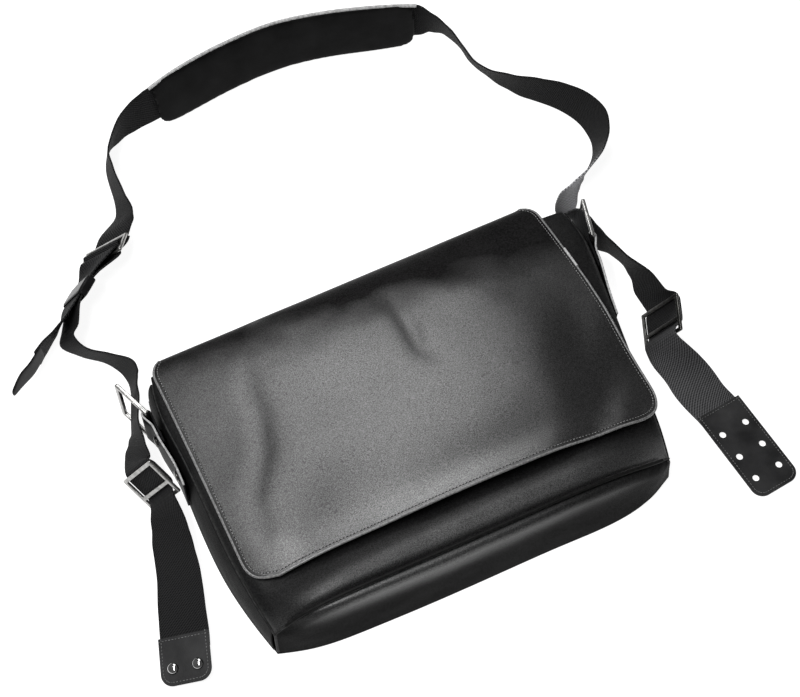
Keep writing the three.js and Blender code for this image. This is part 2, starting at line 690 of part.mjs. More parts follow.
for (const side of ["left", "right"]) {
  const sign = side === "left" ? -1 : 1;
  add(`side_gusset_${side}`, gusset(side), canvas());

  const { x, y, heading } = RINGS[side];
  const along = new THREE.Vector3(Math.cos(degToRad(heading)), Math.sin(degToRad(heading)), 0);
  const middle = new THREE.Vector3(x, y, RING_MIDDLE).addScaledVector(along, RING.reach / 2);
  const out = new THREE.Vector3().crossVectors(UP, along);
  place(add(`ring_${side}`, ringGeometry(), metal()), middle, UP, along, out);

  const route = tabRoute(side);
  add(`side_tab_${side}`, band(route, SIDE_TAB.width, SIDE_TAB.thick, 2), leather());
  placeRivet(add(`rivet_${side}_upper`, cap(RIVET.radius, RIVET.height), metal()), route, sign, y - 20);
  placeRivet(add(`rivet_${side}_lower`, cap(RIVET.radius, RIVET.height), metal()), route, sign, RIVET.low);
}

const rightRoute = rightStrap();
const leftRoute = leftStrap();
const padRoute = stations(PAD_ROUTE, PAD.width);
add("strap_right", band(rightRoute, WEBBING.width, WEBBING.thick, 2), webbing());
add("strap_left", band(leftRoute, WEBBING.width, WEBBING.thick, 2, 3), webbing());
add("shoulder_pad", band(padRoute, PAD.width, PAD.thick, 4, 6, padTaper), leather());
const tipRoute = stations(TIP_ROUTE, TIP.width, TIP.thick);
add("strap_tip", band(tipRoute, TIP.width, TIP.thick, 3, 2, tipTaper), leather());

placePlate(add("strap_buckle", sliderGeometry(BUCKLE_BARS), metal()), plateFrame(BUCKLE));
for (const side of ["left", "right"]) {
  const slider = add(`cross_slider_${side}`, sliderGeometry(CROSS_BARS), metal());
  placePlate(slider, plateFrame(CROSS_SLIDERS[side]));
}
const keeper = plateFrame(KEEPER_PLACE);
const loop = add("strap_keeper", keeperGeometry(), leather());
place(loop, keeper.origin, keeper.across, keeper.out, keeper.across.clone().cross(keeper.out));

const holes = HOLES.rows.flatMap((row) => [[-HOLES.across, row], [HOLES.across, row]]);
layEnd(add("hole_tab", endTab(HOLE_TAB, holes), leather()), rightRoute, HOLE_TAB);
const studTab = layEnd(add("stud_tab", endTab(STUD_TAB, []), leather()), leftRoute, STUD_TAB);
for (const [name, side] of [["stud_left", -1], ["stud_right", 1]]) {
  const stud = add(name, cap(STUDS.radius, STUDS.height), metal());
  const seat = new THREE.Vector3(side * STUDS.across, STUD_TAB.overlap - STUDS.row, STUD_TAB.thick / 2 + GAP);
  stud.quaternion.copy(studTab.quaternion);
  stud.position.copy(seat.applyQuaternion(studTab.quaternion).add(studTab.position));
}

export default bag;
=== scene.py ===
"""Looks of a canvas shoulder bag that lies on its back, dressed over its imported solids.

Metres, +Z up, in the solids' own frame: +X across the bag and +Y from its base to its mouth.
"""

import logging
import math
from dataclasses import dataclass
from enum import Enum
from typing import Callable, Sequence

import bmesh
import bpy
from mathutils import Matrix, Vector, noise
from mathutils.bvhtree import BVHTree
from mathutils.kdtree import KDTree


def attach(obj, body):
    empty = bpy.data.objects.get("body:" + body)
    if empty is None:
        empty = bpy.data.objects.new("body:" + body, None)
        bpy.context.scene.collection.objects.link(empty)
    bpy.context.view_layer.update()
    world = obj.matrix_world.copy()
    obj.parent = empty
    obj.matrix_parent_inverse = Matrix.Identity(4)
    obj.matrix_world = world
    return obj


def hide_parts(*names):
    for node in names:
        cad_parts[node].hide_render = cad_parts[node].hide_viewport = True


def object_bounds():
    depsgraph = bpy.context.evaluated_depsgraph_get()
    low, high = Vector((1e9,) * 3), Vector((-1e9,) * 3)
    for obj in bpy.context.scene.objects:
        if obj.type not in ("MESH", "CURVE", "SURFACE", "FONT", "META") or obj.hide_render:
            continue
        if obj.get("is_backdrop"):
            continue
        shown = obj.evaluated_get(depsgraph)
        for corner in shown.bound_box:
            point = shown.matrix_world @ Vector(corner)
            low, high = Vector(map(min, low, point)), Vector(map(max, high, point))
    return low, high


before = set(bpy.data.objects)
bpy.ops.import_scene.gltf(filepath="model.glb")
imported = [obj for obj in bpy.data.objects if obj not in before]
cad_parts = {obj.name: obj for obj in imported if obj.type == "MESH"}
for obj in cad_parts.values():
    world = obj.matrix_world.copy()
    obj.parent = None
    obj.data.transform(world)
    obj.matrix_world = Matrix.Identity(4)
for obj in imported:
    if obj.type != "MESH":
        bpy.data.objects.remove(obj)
CAD_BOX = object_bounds()

LOG = logging.getLogger("shoulder_bag")
BODY = "root"
MM = 0.001
UP = Vector((0.0, 0.0, 1.0))
ORIGIN = Vector((0.0, 0.0, 0.0))


class Slot(Enum):
    """The record's material slots."""

    CANVAS = "canvas"
    FLAP_CANVAS = "flap_canvas"
    WEBBING = "webbing"
    LEATHER = "leather"
    METAL = "metal"


class Side(Enum):
    """The two sides of the bag, with the sign of X there."""

    LEFT = -1
    RIGHT = 1

    @property
    def word(self) -> str:
        """The side's name as node names spell it."""
        return self.name.lower()


def bell(away: float, width: float) -> float:
    """A smooth hump that is 1 at no distance and falls off over a width."""
    return math.exp(-((away / width) ** 2))


def clamped(share: float) -> float:
    """A share held between 0 and 1."""
    return min(1.0, max(0.0, share))


# Finishes


class Graph:
    """A material's node tree, with short calls to add and join its nodes."""

    def __init__(self, name: str) -> None:
        """Starts a material with a principled shader.

        Args:
            name: the material's name.
        """
        self.material = bpy.data.materials.new(name)
        self.material.use_nodes = True
        self.tree = self.material.node_tree
        self.shader = self.tree.nodes["Principled BSDF"]

    def set(self, **values: float | tuple) -> None:
        """Sets constant values on the shader's sockets, spaces written as underscores."""
        for socket, value in values.items():
            self.shader.inputs[socket.replace("_", " ")].default_value = value

    def node(self, kind: str, inputs: dict | None = None, **settings: object) -> bpy.types.Node:
        """Adds a node.

        Args:
            kind: the node's type, without its ShaderNode prefix.
            inputs: values or output sockets, by the input's name or number.
            settings: the node's own properties.

        Returns:
            The new node.
        """
        node = self.tree.nodes.new("ShaderNode" + kind)
        for key, value in settings.items():
            setattr(node, key, value)
        for key, value in (inputs or {}).items():
            self.join(value, node.inputs[key])
        return node

    def join(self, value: object, socket: bpy.types.NodeSocket) -> None:
        """Links an output socket to an input, or sets the input to a value.

        Args:
            value: an output socket or a plain value.
            socket: the input.
        """
        if isinstance(value, bpy.types.NodeSocket):
            self.tree.links.new(value, socket)
        else:
            socket.default_value = value

    def math(self, operation: str, a: object, b: object = 0.0) -> bpy.types.NodeSocket:
        """The result of a Math node."""
        return self.node("Math", {0: a, 1: b}, operation=operation).outputs[0]

    def noise(self, where: bpy.types.NodeSocket, size: float, detail: float = 3.0) -> bpy.types.NodeSocket:
        """Noise with features of a size in metres, from 0 to 1."""
        inputs = {"Vector": where, "Scale": 1.0 / size, "Detail": detail}
        return self.node("TexNoise", inputs).outputs["Fac"]

    def ribs(
        self, where: bpy.types.NodeSocket, pitch: float, axis: str, bend: float
    ) -> bpy.types.NodeSocket:
        """Even ribs across an axis.

        Args:
            where: the coordinates.
            pitch: the distance between ribs, in metres.
            axis: X, Y or DIAGONAL.
            bend: how much noise bends the ribs.

        Returns:
            The height of the ribs, from 0 to 1.
        """
        scale = math.pi / (10.0 * pitch)
        inputs = {"Vector": where, "Scale": scale, "Distortion": bend, "Detail Scale": 0.4}
        wave = self.node("TexWave", inputs, wave_type="BANDS", bands_direction=axis)
        return wave.outputs["Fac"]

    def shade(
        self,
        amount: bpy.types.NodeSocket,
        low: tuple,
        high: tuple,
        start: float,
        end: float,
        gain: object = 1.0,
    ) -> None:
        """Colours the shader between two colours as an amount goes from start to end, times a gain.

        Args:
            amount: what the colour follows.
            low: the colour at the start.
            high: the colour at the end.
            start: where the change of colour starts.
            end: where it ends.
            gain: how many times brighter the result is.
        """
        ramp = self.node("ValToRGB", {"Fac": amount})
        for stop, place, colour in zip(ramp.color_ramp.elements, (start, end), (low, high)):
            stop.position = place
            stop.color = (*colour, 1.0)
        scaled = self.node("VectorMath", {0: ramp.outputs["Color"], "Scale": gain}, operation="SCALE")
        self.tree.links.new(scaled.outputs["Vector"], self.shader.inputs["Base Color"])

    def roughen(self, amount: bpy.types.NodeSocket, low: float, high: float) -> None:
        """Makes the roughness follow an amount from 0 to 1."""
        self.join(self.spread(amount, (0.0, 1.0), (low, high)), self.shader.inputs["Roughness"])

    def spread(self, amount: bpy.types.NodeSocket, span: tuple, to: tuple) -> bpy.types.NodeSocket:
        """An amount moved from one span to another, and held at its ends.

        Args:
            amount: the amount.
            span: the two ends that it comes from.
            to: the two ends that it goes to.

        Returns:
            The moved amount.
        """
        inputs = {"Value": amount}
        for name, ends in (("From", span), ("To", to)):
            inputs[f"{name} Min"], inputs[f"{name} Max"] = ends
        return self.node("MapRange", inputs).outputs["Result"]

    def bump(self, height: bpy.types.NodeSocket, depth: float, under: object = None) -> bpy.types.NodeSocket:
        """A bump of a depth in metres, over another bump where one is given, joined to the shader.

        Args:
            height: the bump's pattern, from 0 to 1.
            depth: its depth.
            under: the normal of the other bump.

        Returns:
            The bumped normal.
        """
        node = self.node("Bump", {"Height": height, "Distance": depth, "Strength": 1.0})
        if under is not None:
            self.tree.links.new(under, node.inputs["Normal"])
        self.tree.links.new(node.outputs["Normal"], self.shader.inputs["Normal"])
        return node.outputs["Normal"]


@dataclass(frozen=True)
class Canvas:
    """Woven cotton canvas, dry or waxed, on the piece's own UV map in metres.

    Its shine rises where the rub attribute says that it is worn. Where dry is given, the shine falls
    between those two places along Y, on a wavy and slanting line, and is less towards both ends of X.
    """

    name: str
    dark: tuple
    light: tuple
    roughness: tuple
    thread: float = 0.9 * MM
    weave_depth: float = 0.09 * MM
    slub: float = 2.0 * MM
    slub_depth: float = 0.3 * MM
    specular: float = 0.5
    speckle: float = 0.9 * MM
    cloud: float = 60 * MM
    wear_and_painted_light: float = 0.0
    dry: tuple = ()
    dry_share: float = 0.04
    wave: float = 45 * MM
    wave_height: float = 50 * MM
    slant: float = 0.13
    left_end: tuple = ((-0.21, -0.07), (0.68, 1.0))
    right_end: tuple = ((0.08, 0.16), (1.0, 0.78))

    def material(self) -> bpy.types.Material:
        """Builds the material.

        Returns:
            Canvas with a weave, slubs and cloudy wear.
        """
        graph = Graph(self.name)
        where = graph.node("UVMap").outputs["UV"]
        place = graph.node("TexCoord").outputs["Object"]
        warp = graph.ribs(where, self.thread, "X", 1.2)
        weft = graph.ribs(where, self.thread, "Y", 1.2)
        weave = graph.math("MULTIPLY", warp, weft)
        grain = graph.noise(place, self.slub, 2.0)
        clouds = graph.noise(place, self.cloud, 4.0)
        tone = graph.math("ADD", graph.math("MULTIPLY", grain, 0.75), graph.math("MULTIPLY", clouds, 0.25))
        graph.shade(tone, self.dark, self.light, 0.38, 0.62)
        graph.roughen(graph.math("ADD", graph.math("MULTIPLY", grain, 0.5), 0.25), *self.roughness)
        lumps = graph.bump(grain, self.slub_depth)
        graph.bump(weave, self.weave_depth, lumps)
        speckle = graph.spread(graph.noise(place, self.speckle, 1.0), (0.3, 0.7), (0.45, 1.55))
        shine = graph.math("MULTIPLY", speckle, self.shine(graph, place))
        graph.join(shine, graph.shader.inputs["Specular IOR Level"])
        return graph.material

    def shine(self, graph: Graph, place: bpy.types.NodeSocket) -> object:
        """How strongly the cloth shines.

        Args:
            graph: the material's nodes.
            place: the object's coordinates.

        Returns:
            A number, or a socket where the shine changes over the cloth.
        """
        level = self.specular
        if self.dry:
            across, along, _ = graph.node("SeparateXYZ", {"Vector": place}).outputs
            wave = graph.math("MULTIPLY", graph.noise(place, self.wave, 1.0), self.wave_height)
            wavy = graph.math("ADD", along, wave)
            fold = graph.math("ADD", wavy, graph.math("MULTIPLY", across, self.slant))
            level = graph.spread(fold, self.dry, (level, self.dry_share * level))
            for span, shares in (self.left_end, self.right_end):
                level = graph.math("MULTIPLY", level, graph.spread(across, span, shares))
        if self.wear_and_painted_light:
            worn = graph.node("Attribute", attribute_name="wear_and_painted_light").outputs["Fac"]
            level = graph.math("ADD", level, graph.math("MULTIPLY", worn, self.wear_and_painted_light))
        return level


@dataclass(frozen=True)
class Webbing:
    """Ribbed strap webbing, on a UV map that runs across and along the strap in metres.

    Its colour is scaled up where its attribute carries a painted highlight of the light on the strap.
    """

    name: str = "black_webbing"
    dark: tuple = (0.002, 0.002, 0.0021)
    light: tuple = (0.016, 0.016, 0.0165)
    twill: float = 1.5 * MM
    rib: float = 2.4 * MM
    painted_highlight_gain: float = 32.0
    # Painted highlight: how many times the colour is scaled where the highlight is full.

    def material(self) -> bpy.types.Material:
        """Builds the material.

        Returns:
            Black webbing with a twill that its cross ribs break up.
        """
        graph = Graph(self.name)
        where = graph.node("UVMap").outputs["UV"]
        place = graph.node("TexCoord").outputs["Object"]
        twill = graph.ribs(where, self.twill, "DIAGONAL", 0.8)
        ribs = graph.ribs(where, self.rib, "Y", 0.8)
        height = graph.math("ADD", twill, graph.math("MULTIPLY", ribs, 0.35))
        fuzz = graph.noise(place, 1.2 * MM, 2.0)
        tone = graph.math("ADD", graph.math("MULTIPLY", height, 0.5), graph.math("MULTIPLY", fuzz, 0.4))
        # Painted highlight: where the attribute is high, the colour is scaled up many times to paint light
        # on the strap.
        worn = graph.node("Attribute", attribute_name="wear_and_painted_light").outputs["Fac"]
        graph.shade(tone, self.dark, self.light, 0.2, 0.9, graph.spread(worn, (0.0, 1.0), (1.0, self.painted_highlight_gain)))
        graph.roughen(fuzz, 0.5, 0.75)
        graph.bump(height, 0.4 * MM)
        graph.set(Specular_IOR_Level=0.05)
        return graph.material


@dataclass(frozen=True)
class Leather:
    """Smooth dyed leather with a fine grain."""

    name: str
    dark: tuple = (0.003, 0.003, 0.0032)
    light: tuple = (0.009, 0.009, 0.0094)
    roughness: tuple = (0.34, 0.5)
    specular: float = 0.02
    grain: float = 1.1 * MM
    depth: float = 0.05 * MM

    def material(self) -> bpy.types.Material:
        """Builds the material.

        Returns:
            Leather whose grain and gloss vary a little.
        """
        graph = Graph(self.name)
        place = graph.node("TexCoord").outputs["Object"]
        cells = graph.node("TexVoronoi", {"Vector": place, "Scale": 1.0 / self.grain}).outputs["Distance"]
        clouds = graph.noise(place, 25 * MM, 4.0)
        graph.shade(clouds, self.dark, self.light, 0.3, 0.75)
        graph.roughen(clouds, *self.roughness)
        graph.bump(cells, self.depth)
        graph.set(Specular_IOR_Level=self.specular)
        return graph.material


@dataclass(frozen=True)
class Metal:
    """Plated metal with fine rubbing marks."""

    name: str
    dark: tuple
    light: tuple
    roughness: tuple

    def material(self) -> bpy.types.Material:
        """Builds the material.

        Returns:
            Metal with cloudy polish.
        """
        graph = Graph(self.name)
        place = graph.node("TexCoord").outputs["Object"]
        clouds = graph.noise(place, 6 * MM, 5.0)
        graph.shade(clouds, self.dark, self.light, 0.3, 0.7)
        graph.roughen(clouds, *self.roughness)
        graph.bump(graph.noise(place, 1.6 * MM, 2.0), 0.006 * MM)
        graph.set(Metallic=1.0)
        return graph.material


@dataclass(frozen=True)
class Thread:
    """Twisted sewing thread."""

    name: str
    dark: tuple
    light: tuple

    def material(self) -> bpy.types.Material:
        """Builds the material.

        Returns:
            Thread with a slight change of tone from stitch to stitch.
        """
        graph = Graph(self.name)
        place = graph.node("TexCoord").outputs["Object"]
        graph.shade(graph.noise(place, 3 * MM, 1.0), self.dark, self.light, 0.3, 0.7)
        graph.set(Roughness=0.6, Specular_IOR_Level=0.1)
        return graph.material


class Finishes:
    """Every material of the bag, made once."""

    def __init__(self) -> None:
        """Builds the materials."""
        self.flap = Canvas(
            "waxed_flap_canvas",
            (0.003, 0.003, 0.003),
            (0.0105, 0.0102, 0.0105),
            (0.33, 0.42),
            weave_depth=0.05 * MM,
            slub_depth=0.08 * MM,
            specular=0.88,
            wear_and_painted_light=0.5,
            dry=(0.118, 0.162),
        ).material()
        self.body = Canvas(
            "body_canvas",
            (0.003, 0.003, 0.0031),
            (0.009, 0.009, 0.0092),
            (0.42, 0.55),
            weave_depth=0.05 * MM,
            slub_depth=0.12 * MM,
            specular=0.012,
            wear_and_painted_light=1.0,
        ).material()
        # A real bound edge; its pale grey, far lighter than the flap, also paints the light caught on its
        # rim.
        self.binding = Canvas(
            "edge_binding", (0.07, 0.07, 0.07), (0.17, 0.17, 0.17), (0.3, 0.42), thread=0.7 * MM
        ).material()
        self.webbing = Webbing().material()
        self.leather = Leather("black_leather").material()
        self.tab_leather = Leather(
            "tab_leather", (0.012, 0.012, 0.0124), (0.03, 0.03, 0.0305), specular=0.08
        ).material()
        self.nickel = Metal(
            "bright_nickel", (0.2, 0.2, 0.195), (0.42, 0.415, 0.405), (0.26, 0.36)
        ).material()
        self.gunmetal = Metal(
            "dark_nickel", (0.05, 0.05, 0.047), (0.14, 0.138, 0.132), (0.26, 0.38)
        ).material()
        self.stitch = Thread("grey_thread", (0.14, 0.14, 0.14), (0.34, 0.34, 0.34)).material()
        # Painted shade: near-black for the cord that darkens the base seam's groove.
        self.painted_seam_shade = Thread("painted_seam_shade_thread", (0.002, 0.002, 0.002), (0.006, 0.006, 0.006)).material()
        self.tab_stitch = Thread("tab_thread", (0.06, 0.06, 0.06), (0.18, 0.18, 0.18)).material()
        self.chrome = Metal("bright_studs", (0.35, 0.35, 0.35), (0.6, 0.6, 0.6), (0.05, 0.12)).material()
        self.welt = Thread("welt_canvas", (0.008, 0.008, 0.008), (0.026, 0.026, 0.026)).material()
        self.seam_line = Thread("seam_line", (0.006, 0.006, 0.006), (0.016, 0.016, 0.016)).material()
        # Painted highlight: pale grey for cords that stand for light on lit edges.
        self.edge = Thread("painted_highlight_edge", (0.22, 0.22, 0.22), (0.42, 0.42, 0.42)).material()
        self.pad = Leather(
            "pad_leather", (0.002, 0.002, 0.002), (0.007, 0.007, 0.0072), (0.4, 0.5), 0.045
        ).material()
        self.gloss = Leather("glossy_leather", roughness=(0.24, 0.34), specular=0.07).material()


# Shaping tools


def node_shape(name: str) -> bmesh.types.BMesh:
    """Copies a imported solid, with its corners merged and its triangles paired.

    Args:
        name: the solid's node.

    Returns:
        A new bmesh.
    """
    shape = bmesh.new()
    shape.from_mesh(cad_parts[name].data)
    bmesh.ops.remove_doubles(shape, verts=shape.verts, dist=0.01 * MM)
    limits = {"angle_face_threshold": math.radians(60), "angle_shape_threshold": math.radians(80)}
    bmesh.ops.join_triangles(shape, faces=shape.faces, **limits)
    return shape


def outer_face(name: str, towards: Vector, sharp: float = math.radians(58)) -> bmesh.types.BMesh:
    """Keeps one face of a thin packed wall as an open sheet.

    Args:
        name: the wall's node.
        towards: the sheet that reaches furthest this way is kept.
        sharp: edges sharper than this angle bound the sheet.

    Returns:
        The sheet, its normals as the wall's.
    """
    shape = node_shape(name)
    left = dict.fromkeys(shape.faces)
    sheets = []
    while left:
        sheet, edge_of_sheet = set(), [left.popitem()[0]]
        while edge_of_sheet:
            face = edge_of_sheet.pop()
            sheet.add(face)
            for edge in face.edges:
                if len(edge.link_faces) == 2 and edge.calc_face_angle() < sharp:
                    found = [f for f in edge.link_faces if f in left]
                    for other in found:
                        del left[other]
                    edge_of_sheet.extend(found)
        sheets.append(sheet)

    def rank(sheet: set) -> tuple:
        """How far a sheet reaches, in tenths of a millimetre, and then its area."""
        reach = max(v.co.dot(towards) for f in sheet for v in f.verts)
        return round(reach / (0.1 * MM)), sum(f.calc_area() for f in sheet)

    best = max(sheets, key=rank)
    bmesh.ops.delete(shape, geom=[f for f in shape.faces if f not in best], context="FACES")
    return shape


def smoothed(shape: bmesh.types.BMesh, levels: int) -> bmesh.types.BMesh:
    """Rounds a shape by subdivision, its open edges kept in place.

    Args:
        shape: the shape, which is used up.
        levels: how many times it is divided.

    Returns:
        The finer shape.
    """
    mesh = bpy.data.meshes.new("coarse")
    shape.to_mesh(mesh)
    shape.free()
    holder = bpy.data.objects.new("coarse", mesh)
    bpy.context.scene.collection.objects.link(holder)
    divide = holder.modifiers.new("divide", "SUBSURF")
    divide.levels = divide.render_levels = levels
    divide.boundary_smooth = "PRESERVE_CORNERS"
    fine = bmesh.new()
    fine.from_object(holder, bpy.context.evaluated_depsgraph_get())
    bpy.data.objects.remove(holder)
    bpy.data.meshes.remove(mesh)
    fine.normal_update()
    return fine


def stuffed(
    shape: bmesh.types.BMesh,
    held: Callable[[Vector], bool],
    cap: float,
    voxel: float,
    pressure: float = 4.0,
    frames: int = 20,
    smoothing: int = 5,
) -> bmesh.types.BMesh:
    """Swells a closed shape as stuffed cloth, by simulation.

    Args:
        shape: the shape, which is used up.
        held: the points that the stitched rim holds.
        cap: how far a point may move.
        voxel: the size of its new faces.
        pressure: how hard the filling presses.
        frames: how long it swells.
        smoothing: how many times the swollen shape is evened out.

    Returns:
        The swollen shape.
    """
    scene = bpy.context.scene
    mesh = bpy.data.meshes.new("slack")
    shape.to_mesh(mesh)
    shape.free()
    holder = bpy.data.objects.new("slack", mesh)
    scene.collection.objects.link(holder)
    even = holder.modifiers.new("even", "REMESH")
    even.mode = "VOXEL"
    even.voxel_size = voxel
    start = bpy.data.meshes.new_from_object(holder.evaluated_get(bpy.context.evaluated_depsgraph_get()))
    holder.modifiers.clear()
    holder.data = start
    rim = holder.vertex_groups.new(name="rim")
    rim.add([v.index for v in start.vertices if held(v.co)], 1.0, "REPLACE")
    cloth = holder.modifiers.new("filling", "CLOTH")
    cloth.settings.use_pressure = True
    cloth.settings.uniform_pressure_force = pressure
    cloth.settings.vertex_group_mass = rim.name
    cloth.settings.effector_weights.gravity = 0.0
    cloth.point_cache.frame_start = 1
    cloth.point_cache.frame_end = frames
    for number in range(1, frames + 1):
        scene.frame_set(number)
    swollen = holder.evaluated_get(bpy.context.evaluated_depsgraph_get()).data
    fine = bmesh.new()
    fine.from_mesh(start)
    moved = 0.0
    for vert, after in zip(fine.verts, swollen.vertices):
        move = after.co - vert.co
        moved = max(moved, move.length)
        vert.co += move * min(1.0, cap / max(move.length, 1e-9))
    LOG.info("stuffed: furthest move %.1f mm before the cap", moved / MM)
    for _ in range(smoothing):
        bmesh.ops.smooth_vert(
            fine, verts=fine.verts, factor=0.5, use_axis_x=True, use_axis_y=True, use_axis_z=True
        )
    scene.frame_set(1)
    bpy.data.objects.remove(holder)
    for used in (mesh, start):
        bpy.data.meshes.remove(used)
    return smoothed(fine, 1)


def lay_uv(shape: bmesh.types.BMesh, flat: Callable[[Vector], tuple]) -> None:
    """Writes a UV map in metres.

    Args:
        shape: the shape to map.
        flat: gives the flat place of a point.
    """
    layer = shape.loops.layers.uv.verify()
    for face in shape.faces:
        for loop in face.loops:
            loop[layer].uv = flat(loop.vert.co)


def press(shape: bmesh.types.BMesh, relief: Callable[[Vector], float]) -> None:
    """Moves each point of a shape along its normal by a relief.

    Args:
        shape: the shape.
        relief: gives the move at a point.
    """
    shape.normal_update()
    moves = [(v, v.normal * relief(v.co)) for v in shape.verts]
    for vert, move in moves:
        vert.co += move
    shape.normal_update()


def border(shape: bmesh.types.BMesh) -> list[bmesh.types.BMVert]:
    """Walks the open edges of a sheet.

    Args:
        shape: the sheet.

    Returns:
        The points of its longest open edge, in order round the sheet.
    """
    left = dict.fromkeys(e for e in shape.edges if e.is_boundary)
    walks = []
    while left:
        edge = left.popitem()[0]
        length, walk = 0.0, list(edge.verts)
        while edge is not None:
            length += edge.calc_length()
            edge = next((e for e in walk[-1].link_edges if e in left), None)
            if edge is not None:
                del left[edge]
                walk.append(edge.other_vert(walk[-1]))
        walks.append((length, walk[:-1]))
    return max(walks, key=lambda found: found[0])[1]


def stretch_of(loop: Sequence[Vector], wanted: Callable[[Vector], bool]) -> list[Vector]:
    """The one run of a closed loop whose points are wanted, in order.

    Args:
        loop: the loop's points.
        wanted: tells whether a point is wanted.

    Returns:
        The wanted points.
    """
    flags = [wanted(p) for p in loop]
    start = next(i for i in range(len(loop)) if flags[i] and not flags[i - 1])
    turned = [*loop[start:], *loop[:start]]
    flags = [*flags[start:], *flags[:start]]
    count = flags.index(False) if False in flags else len(flags)
    return turned[:count]


def evenly(points: Sequence[Vector], pitch: float) -> list[tuple[Vector, Vector]]:
    """Places along a line at an even pitch.

    Args:
        points: the line.
        pitch: the distance between places.

    Returns:
        Each place with the direction of the line there.
    """
    places, travelled, due = [], 0.0, 0.5 * pitch
    for a, b in zip(points, points[1:]):
        step = (b - a).length
        while step > 0 and due <= travelled + step:
            places.append((a.lerp(b, (due - travelled) / step), (b - a).normalized()))
            due += pitch
        travelled += step
    return places


def tube(points: Sequence[Vector], radius: float, sides: int = 8) -> bmesh.types.BMesh:
    """A round cord along a line, with closed ends.

    Args:
        points: the line.
        radius: half the cord's thickness.
        sides: faces round the cord.

    Returns:
        The cord's shape.
    """
    shape = bmesh.new()
    rings = []
    side = None
    for index, point in enumerate(points):
        along = (points[min(index + 1, len(points) - 1)] - points[max(index - 1, 0)]).normalized()
        side = along.orthogonal() if side is None else side - along * side.dot(along)
        side.normalize()
        turn = Matrix((side, along.cross(side), along)).transposed().to_4x4()
        placed = Matrix.Translation(point) @ turn
        ring = bmesh.ops.create_circle(shape, segments=sides, radius=radius, matrix=placed)["verts"]
        rings.append(ring)
    for ring, following in zip(rings, rings[1:]):
        edges = [e for v in ring for e in v.link_edges if e.other_vert(v) in ring]
        next_edges = [e for v in following for e in v.link_edges if e.other_vert(v) in following]
        bmesh.ops.bridge_loops(shape, edges=list({*edges, *next_edges}))
    bmesh.ops.holes_fill(shape, edges=shape.edges, sides=0)
    bmesh.ops.recalc_face_normals(shape, faces=shape.faces)
    return shape


def stitches(
    places: Sequence[tuple[Vector, Vector, Vector]], length: float = 2.6 * MM, thick: float = 0.7 * MM
) -> bmesh.types.BMesh:
    """Short threads that lie along a seam.

    Args:
        places: the middle of each stitch, its direction, and the normal of what it lies on.
        length: the length of a stitch.
        thick: its thickness.

    Returns:
        All the stitches as one shape.
    """
    shape = bmesh.new()
    lying = Matrix.Rotation(math.pi / 2, 4, "Y")
    for middle, along, normal in places:
        across = normal.cross(along).normalized()
        axes = (along.normalized() * length, across * thick, normal.normalized() * thick)
        placed = Matrix.Translation(middle) @ Matrix(axes).transposed().to_4x4() @ lying
        bmesh.ops.create_uvsphere(shape, u_segments=6, v_segments=4, radius=0.5, matrix=placed)
    return shape


def seam_along(
    line: Sequence[Vector],
    sheet: BVHTree,
    inset: float,
    pitch: float,
    middle: Vector,
    proud: float = 0.15 * MM,
) -> list[tuple[Vector, Vector, Vector]]:
    """Places for stitches beside a sheet's edge.

    Args:
        line: the edge.
        sheet: the sheet's faces.
        inset: how far in from the edge the seam runs.
        pitch: the distance between stitches.
        middle: a point inside the edge, in plan.
        proud: how far the stitches' middles stand out of the sheet.

    Returns:
        The middle of each stitch, its direction, and the sheet's normal there.
    """
    seam = []
    for at, along in evenly(line, pitch):
        normal = sheet.find_nearest(at)[1]
        inward = normal.cross(along).normalized()
        inward *= 1.0 if inward.dot(Vector((middle.x, middle.y, at.z)) - at) > 0 else -1.0
        on, normal, _, _ = sheet.find_nearest(at + inward * inset)
        seam.append((on + normal * proud, along, normal))
    return seam


def add_wear_and_painted_light(shape: bmesh.types.BMesh, wear: Callable[[Vector], float]) -> None:
    """Writes a share for each point of a shape as an attribute: wear on the canvas, a painted highlight on
    the webbing.

    Args:
        shape: the shape.
        wear: gives the share at a point, from 0 to 1, which on the webbing is a painted highlight.
    """
    layer = shape.verts.layers.float.new("wear_and_painted_light")
    for vert in shape.verts:
        vert[layer] = wear(vert.co)


def uneven(place: Vector, waves: Sequence[tuple]) -> float:
    """The height of slightly uneven cloth at a point, from pairs of waves per metre and their height."""
    return sum(noise.noise(place * scale) * height for scale, height in waves)


def sharp_edges(shape: bmesh.types.BMesh, angle: float) -> list[bmesh.types.BMEdge]:
    """The edges of a shape that are sharper than an angle in degrees."""
    limit = math.radians(angle)
    return [e for e in shape.edges if len(e.link_faces) == 2 and e.calc_face_angle() > limit]


def piece(
    shape: bmesh.types.BMesh,
    name: str,
    material: bpy.types.Material,
    slot: Slot,
    nodes: Sequence[str] = (),
    sharp: float = math.radians(50),
) -> bpy.types.Object:
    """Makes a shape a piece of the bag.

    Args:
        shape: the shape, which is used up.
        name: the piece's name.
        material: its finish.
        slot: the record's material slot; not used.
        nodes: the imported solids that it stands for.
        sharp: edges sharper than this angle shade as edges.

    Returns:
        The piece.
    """
    mesh = bpy.data.meshes.new(name)
    shape.to_mesh(mesh)
    shape.free()
    mesh.shade_smooth()
    mesh.set_sharp_from_angle(angle=sharp)
    mesh.materials.append(material)
    made = bpy.data.objects.new(name, mesh)
    bpy.context.scene.collection.objects.link(made)
    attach(made, BODY)
    if nodes:
        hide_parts(*nodes)
    LOG.info("%s: %d faces", name, len(mesh.polygons))
    return made


